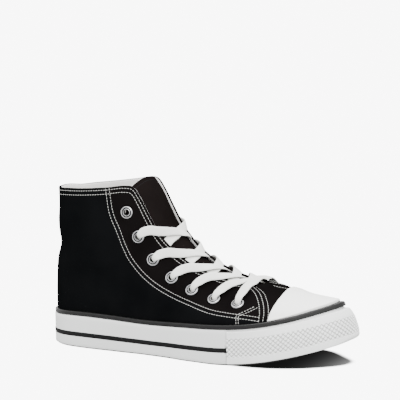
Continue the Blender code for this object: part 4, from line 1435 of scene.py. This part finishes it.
class SneakerSettings(bpy.types.PropertyGroup):
    """Sizes of the details and the stage."""

    ring_divisions: IntProperty(
        name="Ring divisions", description="Cells round the shoe", default=540, min=60
    )
    height_divisions: IntProperty(
        name="Height divisions", description="Cells up the canvas", default=96, min=12
    )
    stitch_pitch: FloatProperty(
        name="Stitch pitch", description="From stitch to stitch", default=0.0024, unit="LENGTH"
    )
    stitch_length: FloatProperty(
        name="Stitch length", description="Thread that shows", default=0.0019, unit="LENGTH"
    )
    thread_width: FloatProperty(
        name="Thread width", description="Width of a stitch", default=0.00048, unit="LENGTH"
    )
    lace_width: FloatProperty(
        name="Lace width", description="Width of the lace", default=0.0076, unit="LENGTH"
    )
    lace_thickness: FloatProperty(
        name="Lace thickness", description="Thickness", default=0.0014, unit="LENGTH"
    )
    diamond_pitch: FloatProperty(
        name="Diamond pitch", description="Toe bumper diamonds", default=0.0041, unit="LENGTH"
    )
    diamond_depth: FloatProperty(
        name="Diamond depth", description="Toe bumper diamonds", default=0.0013, unit="LENGTH"
    )
    tread_pitch: FloatProperty(
        name="Tread pitch", description="From groove to groove", default=0.0052, unit="LENGTH"
    )
    surround_strength: FloatProperty(
        name="Surround", description="Light from all round", default=2.6, min=0
    )
    backdrop_strength: FloatProperty(
        name="Backdrop", description="Brightness behind the shoe", default=8.5, min=0
    )
    key_power: FloatProperty(
        name="Key light", description="Power of the key light", default=60.0, unit="POWER"
    )
    top_power: FloatProperty(
        name="Top light", description="Power of the top light", default=50.0, unit="POWER"
    )
    floor_colour: FloatVectorProperty(
        name="Floor", description="Floor colour", subtype="COLOR", default=(0.36, 0.36, 0.36)
    )
    camera_yaw: FloatProperty(
        name="Yaw", description="Camera to the toe side", default=math.radians(27.0), unit="ROTATION"
    )
    camera_rise: FloatProperty(
        name="Rise", description="Camera above", default=math.radians(9.92), unit="ROTATION"
    )
    camera_roll: FloatProperty(
        name="Roll", description="Camera roll", default=math.radians(-0.81), unit="ROTATION"
    )
    camera_distance: FloatProperty(
        name="Distance", description="Camera to the shoe", default=1.5998, unit="LENGTH"
    )
    aim_height: FloatProperty(
        name="Aim height", description="Height looked at", default=0.07, unit="LENGTH"
    )
    aim_up: FloatProperty(
        name="Aim up", description="Turned up from there", default=0.03466, unit="ROTATION"
    )
    aim_aside: FloatProperty(
        name="Aim aside", description="Turned aside from there", default=-0.00174, unit="ROTATION"
    )
    focal_length: FloatProperty(
        name="Lens", description="Focal length in millimetres", default=173.66, min=1
    )


def builder(idname, label, words, *makers):
    """An operator that builds one group of pieces."""

    def execute(self, context):
        for maker in makers:
            maker(context.scene.sneaker)
        return {"FINISHED"}

    return type(
        "SNEAKER_OT_" + idname,
        (bpy.types.Operator,),
        {"bl_idname": f"sneaker.{idname}", "bl_label": label, "__doc__": words, "execute": execute},
    )


OPERATORS = (
    builder("canvas", "Canvas", "Builds quarters, vamp and stay", make_quarters, make_vamp, make_heel_stay),
    builder("lining", "Lining", "Builds the inner cloth and the footbed", make_lining, make_insole),
    builder("tongue", "Tongue", "Builds the tongue", make_tongue),
    builder("outsole", "Outsole", "Builds the treaded outsole", make_outsole),
    builder("band", "Band", "Builds side band and stripes", make_side_band, make_mid_stripe, make_top_stripe),
    builder("toe", "Toe", "Builds the toe cap and the bumper", make_toe_cap, make_toe_bumper),
    builder("eyelets", "Eyelets", "Builds the rolled rings", make_eyelets),
    builder("lace", "Lace", "Builds the lace", make_lace),
    builder("stitches", "Stitches", "Sews the seams", make_stitches),
    builder("stage", "Stage", "Sets the stage", make_floor, make_surround, make_lights, make_camera),
)


class SNEAKER_PT_panel(bpy.types.Panel):
    """The groups of pieces in building order."""

    bl_label = "Sneaker"
    bl_idname = "SNEAKER_PT_panel"
    bl_space_type = "VIEW_3D"
    bl_region_type = "UI"
    bl_category = "Sneaker"

    def draw(self, context):
        for operator in OPERATORS:
            self.layout.operator(operator.bl_idname)
        for name in SneakerSettings.__annotations__:
            self.layout.prop(context.scene.sneaker, name)


CLASSES = (SneakerSettings, *OPERATORS, SNEAKER_PT_panel)


def register():
    for each in CLASSES:
        bpy.utils.register_class(each)
    bpy.types.Scene.sneaker = PointerProperty(type=SneakerSettings)


def unregister():
    del bpy.types.Scene.sneaker
    for each in reversed(CLASSES):
        bpy.utils.unregister_class(each)


def main():
    register()
    for operator in OPERATORS:
        group, name = operator.bl_idname.split(".")
        getattr(getattr(bpy.ops, group), name)()


if __name__ == "__main__":
    main()
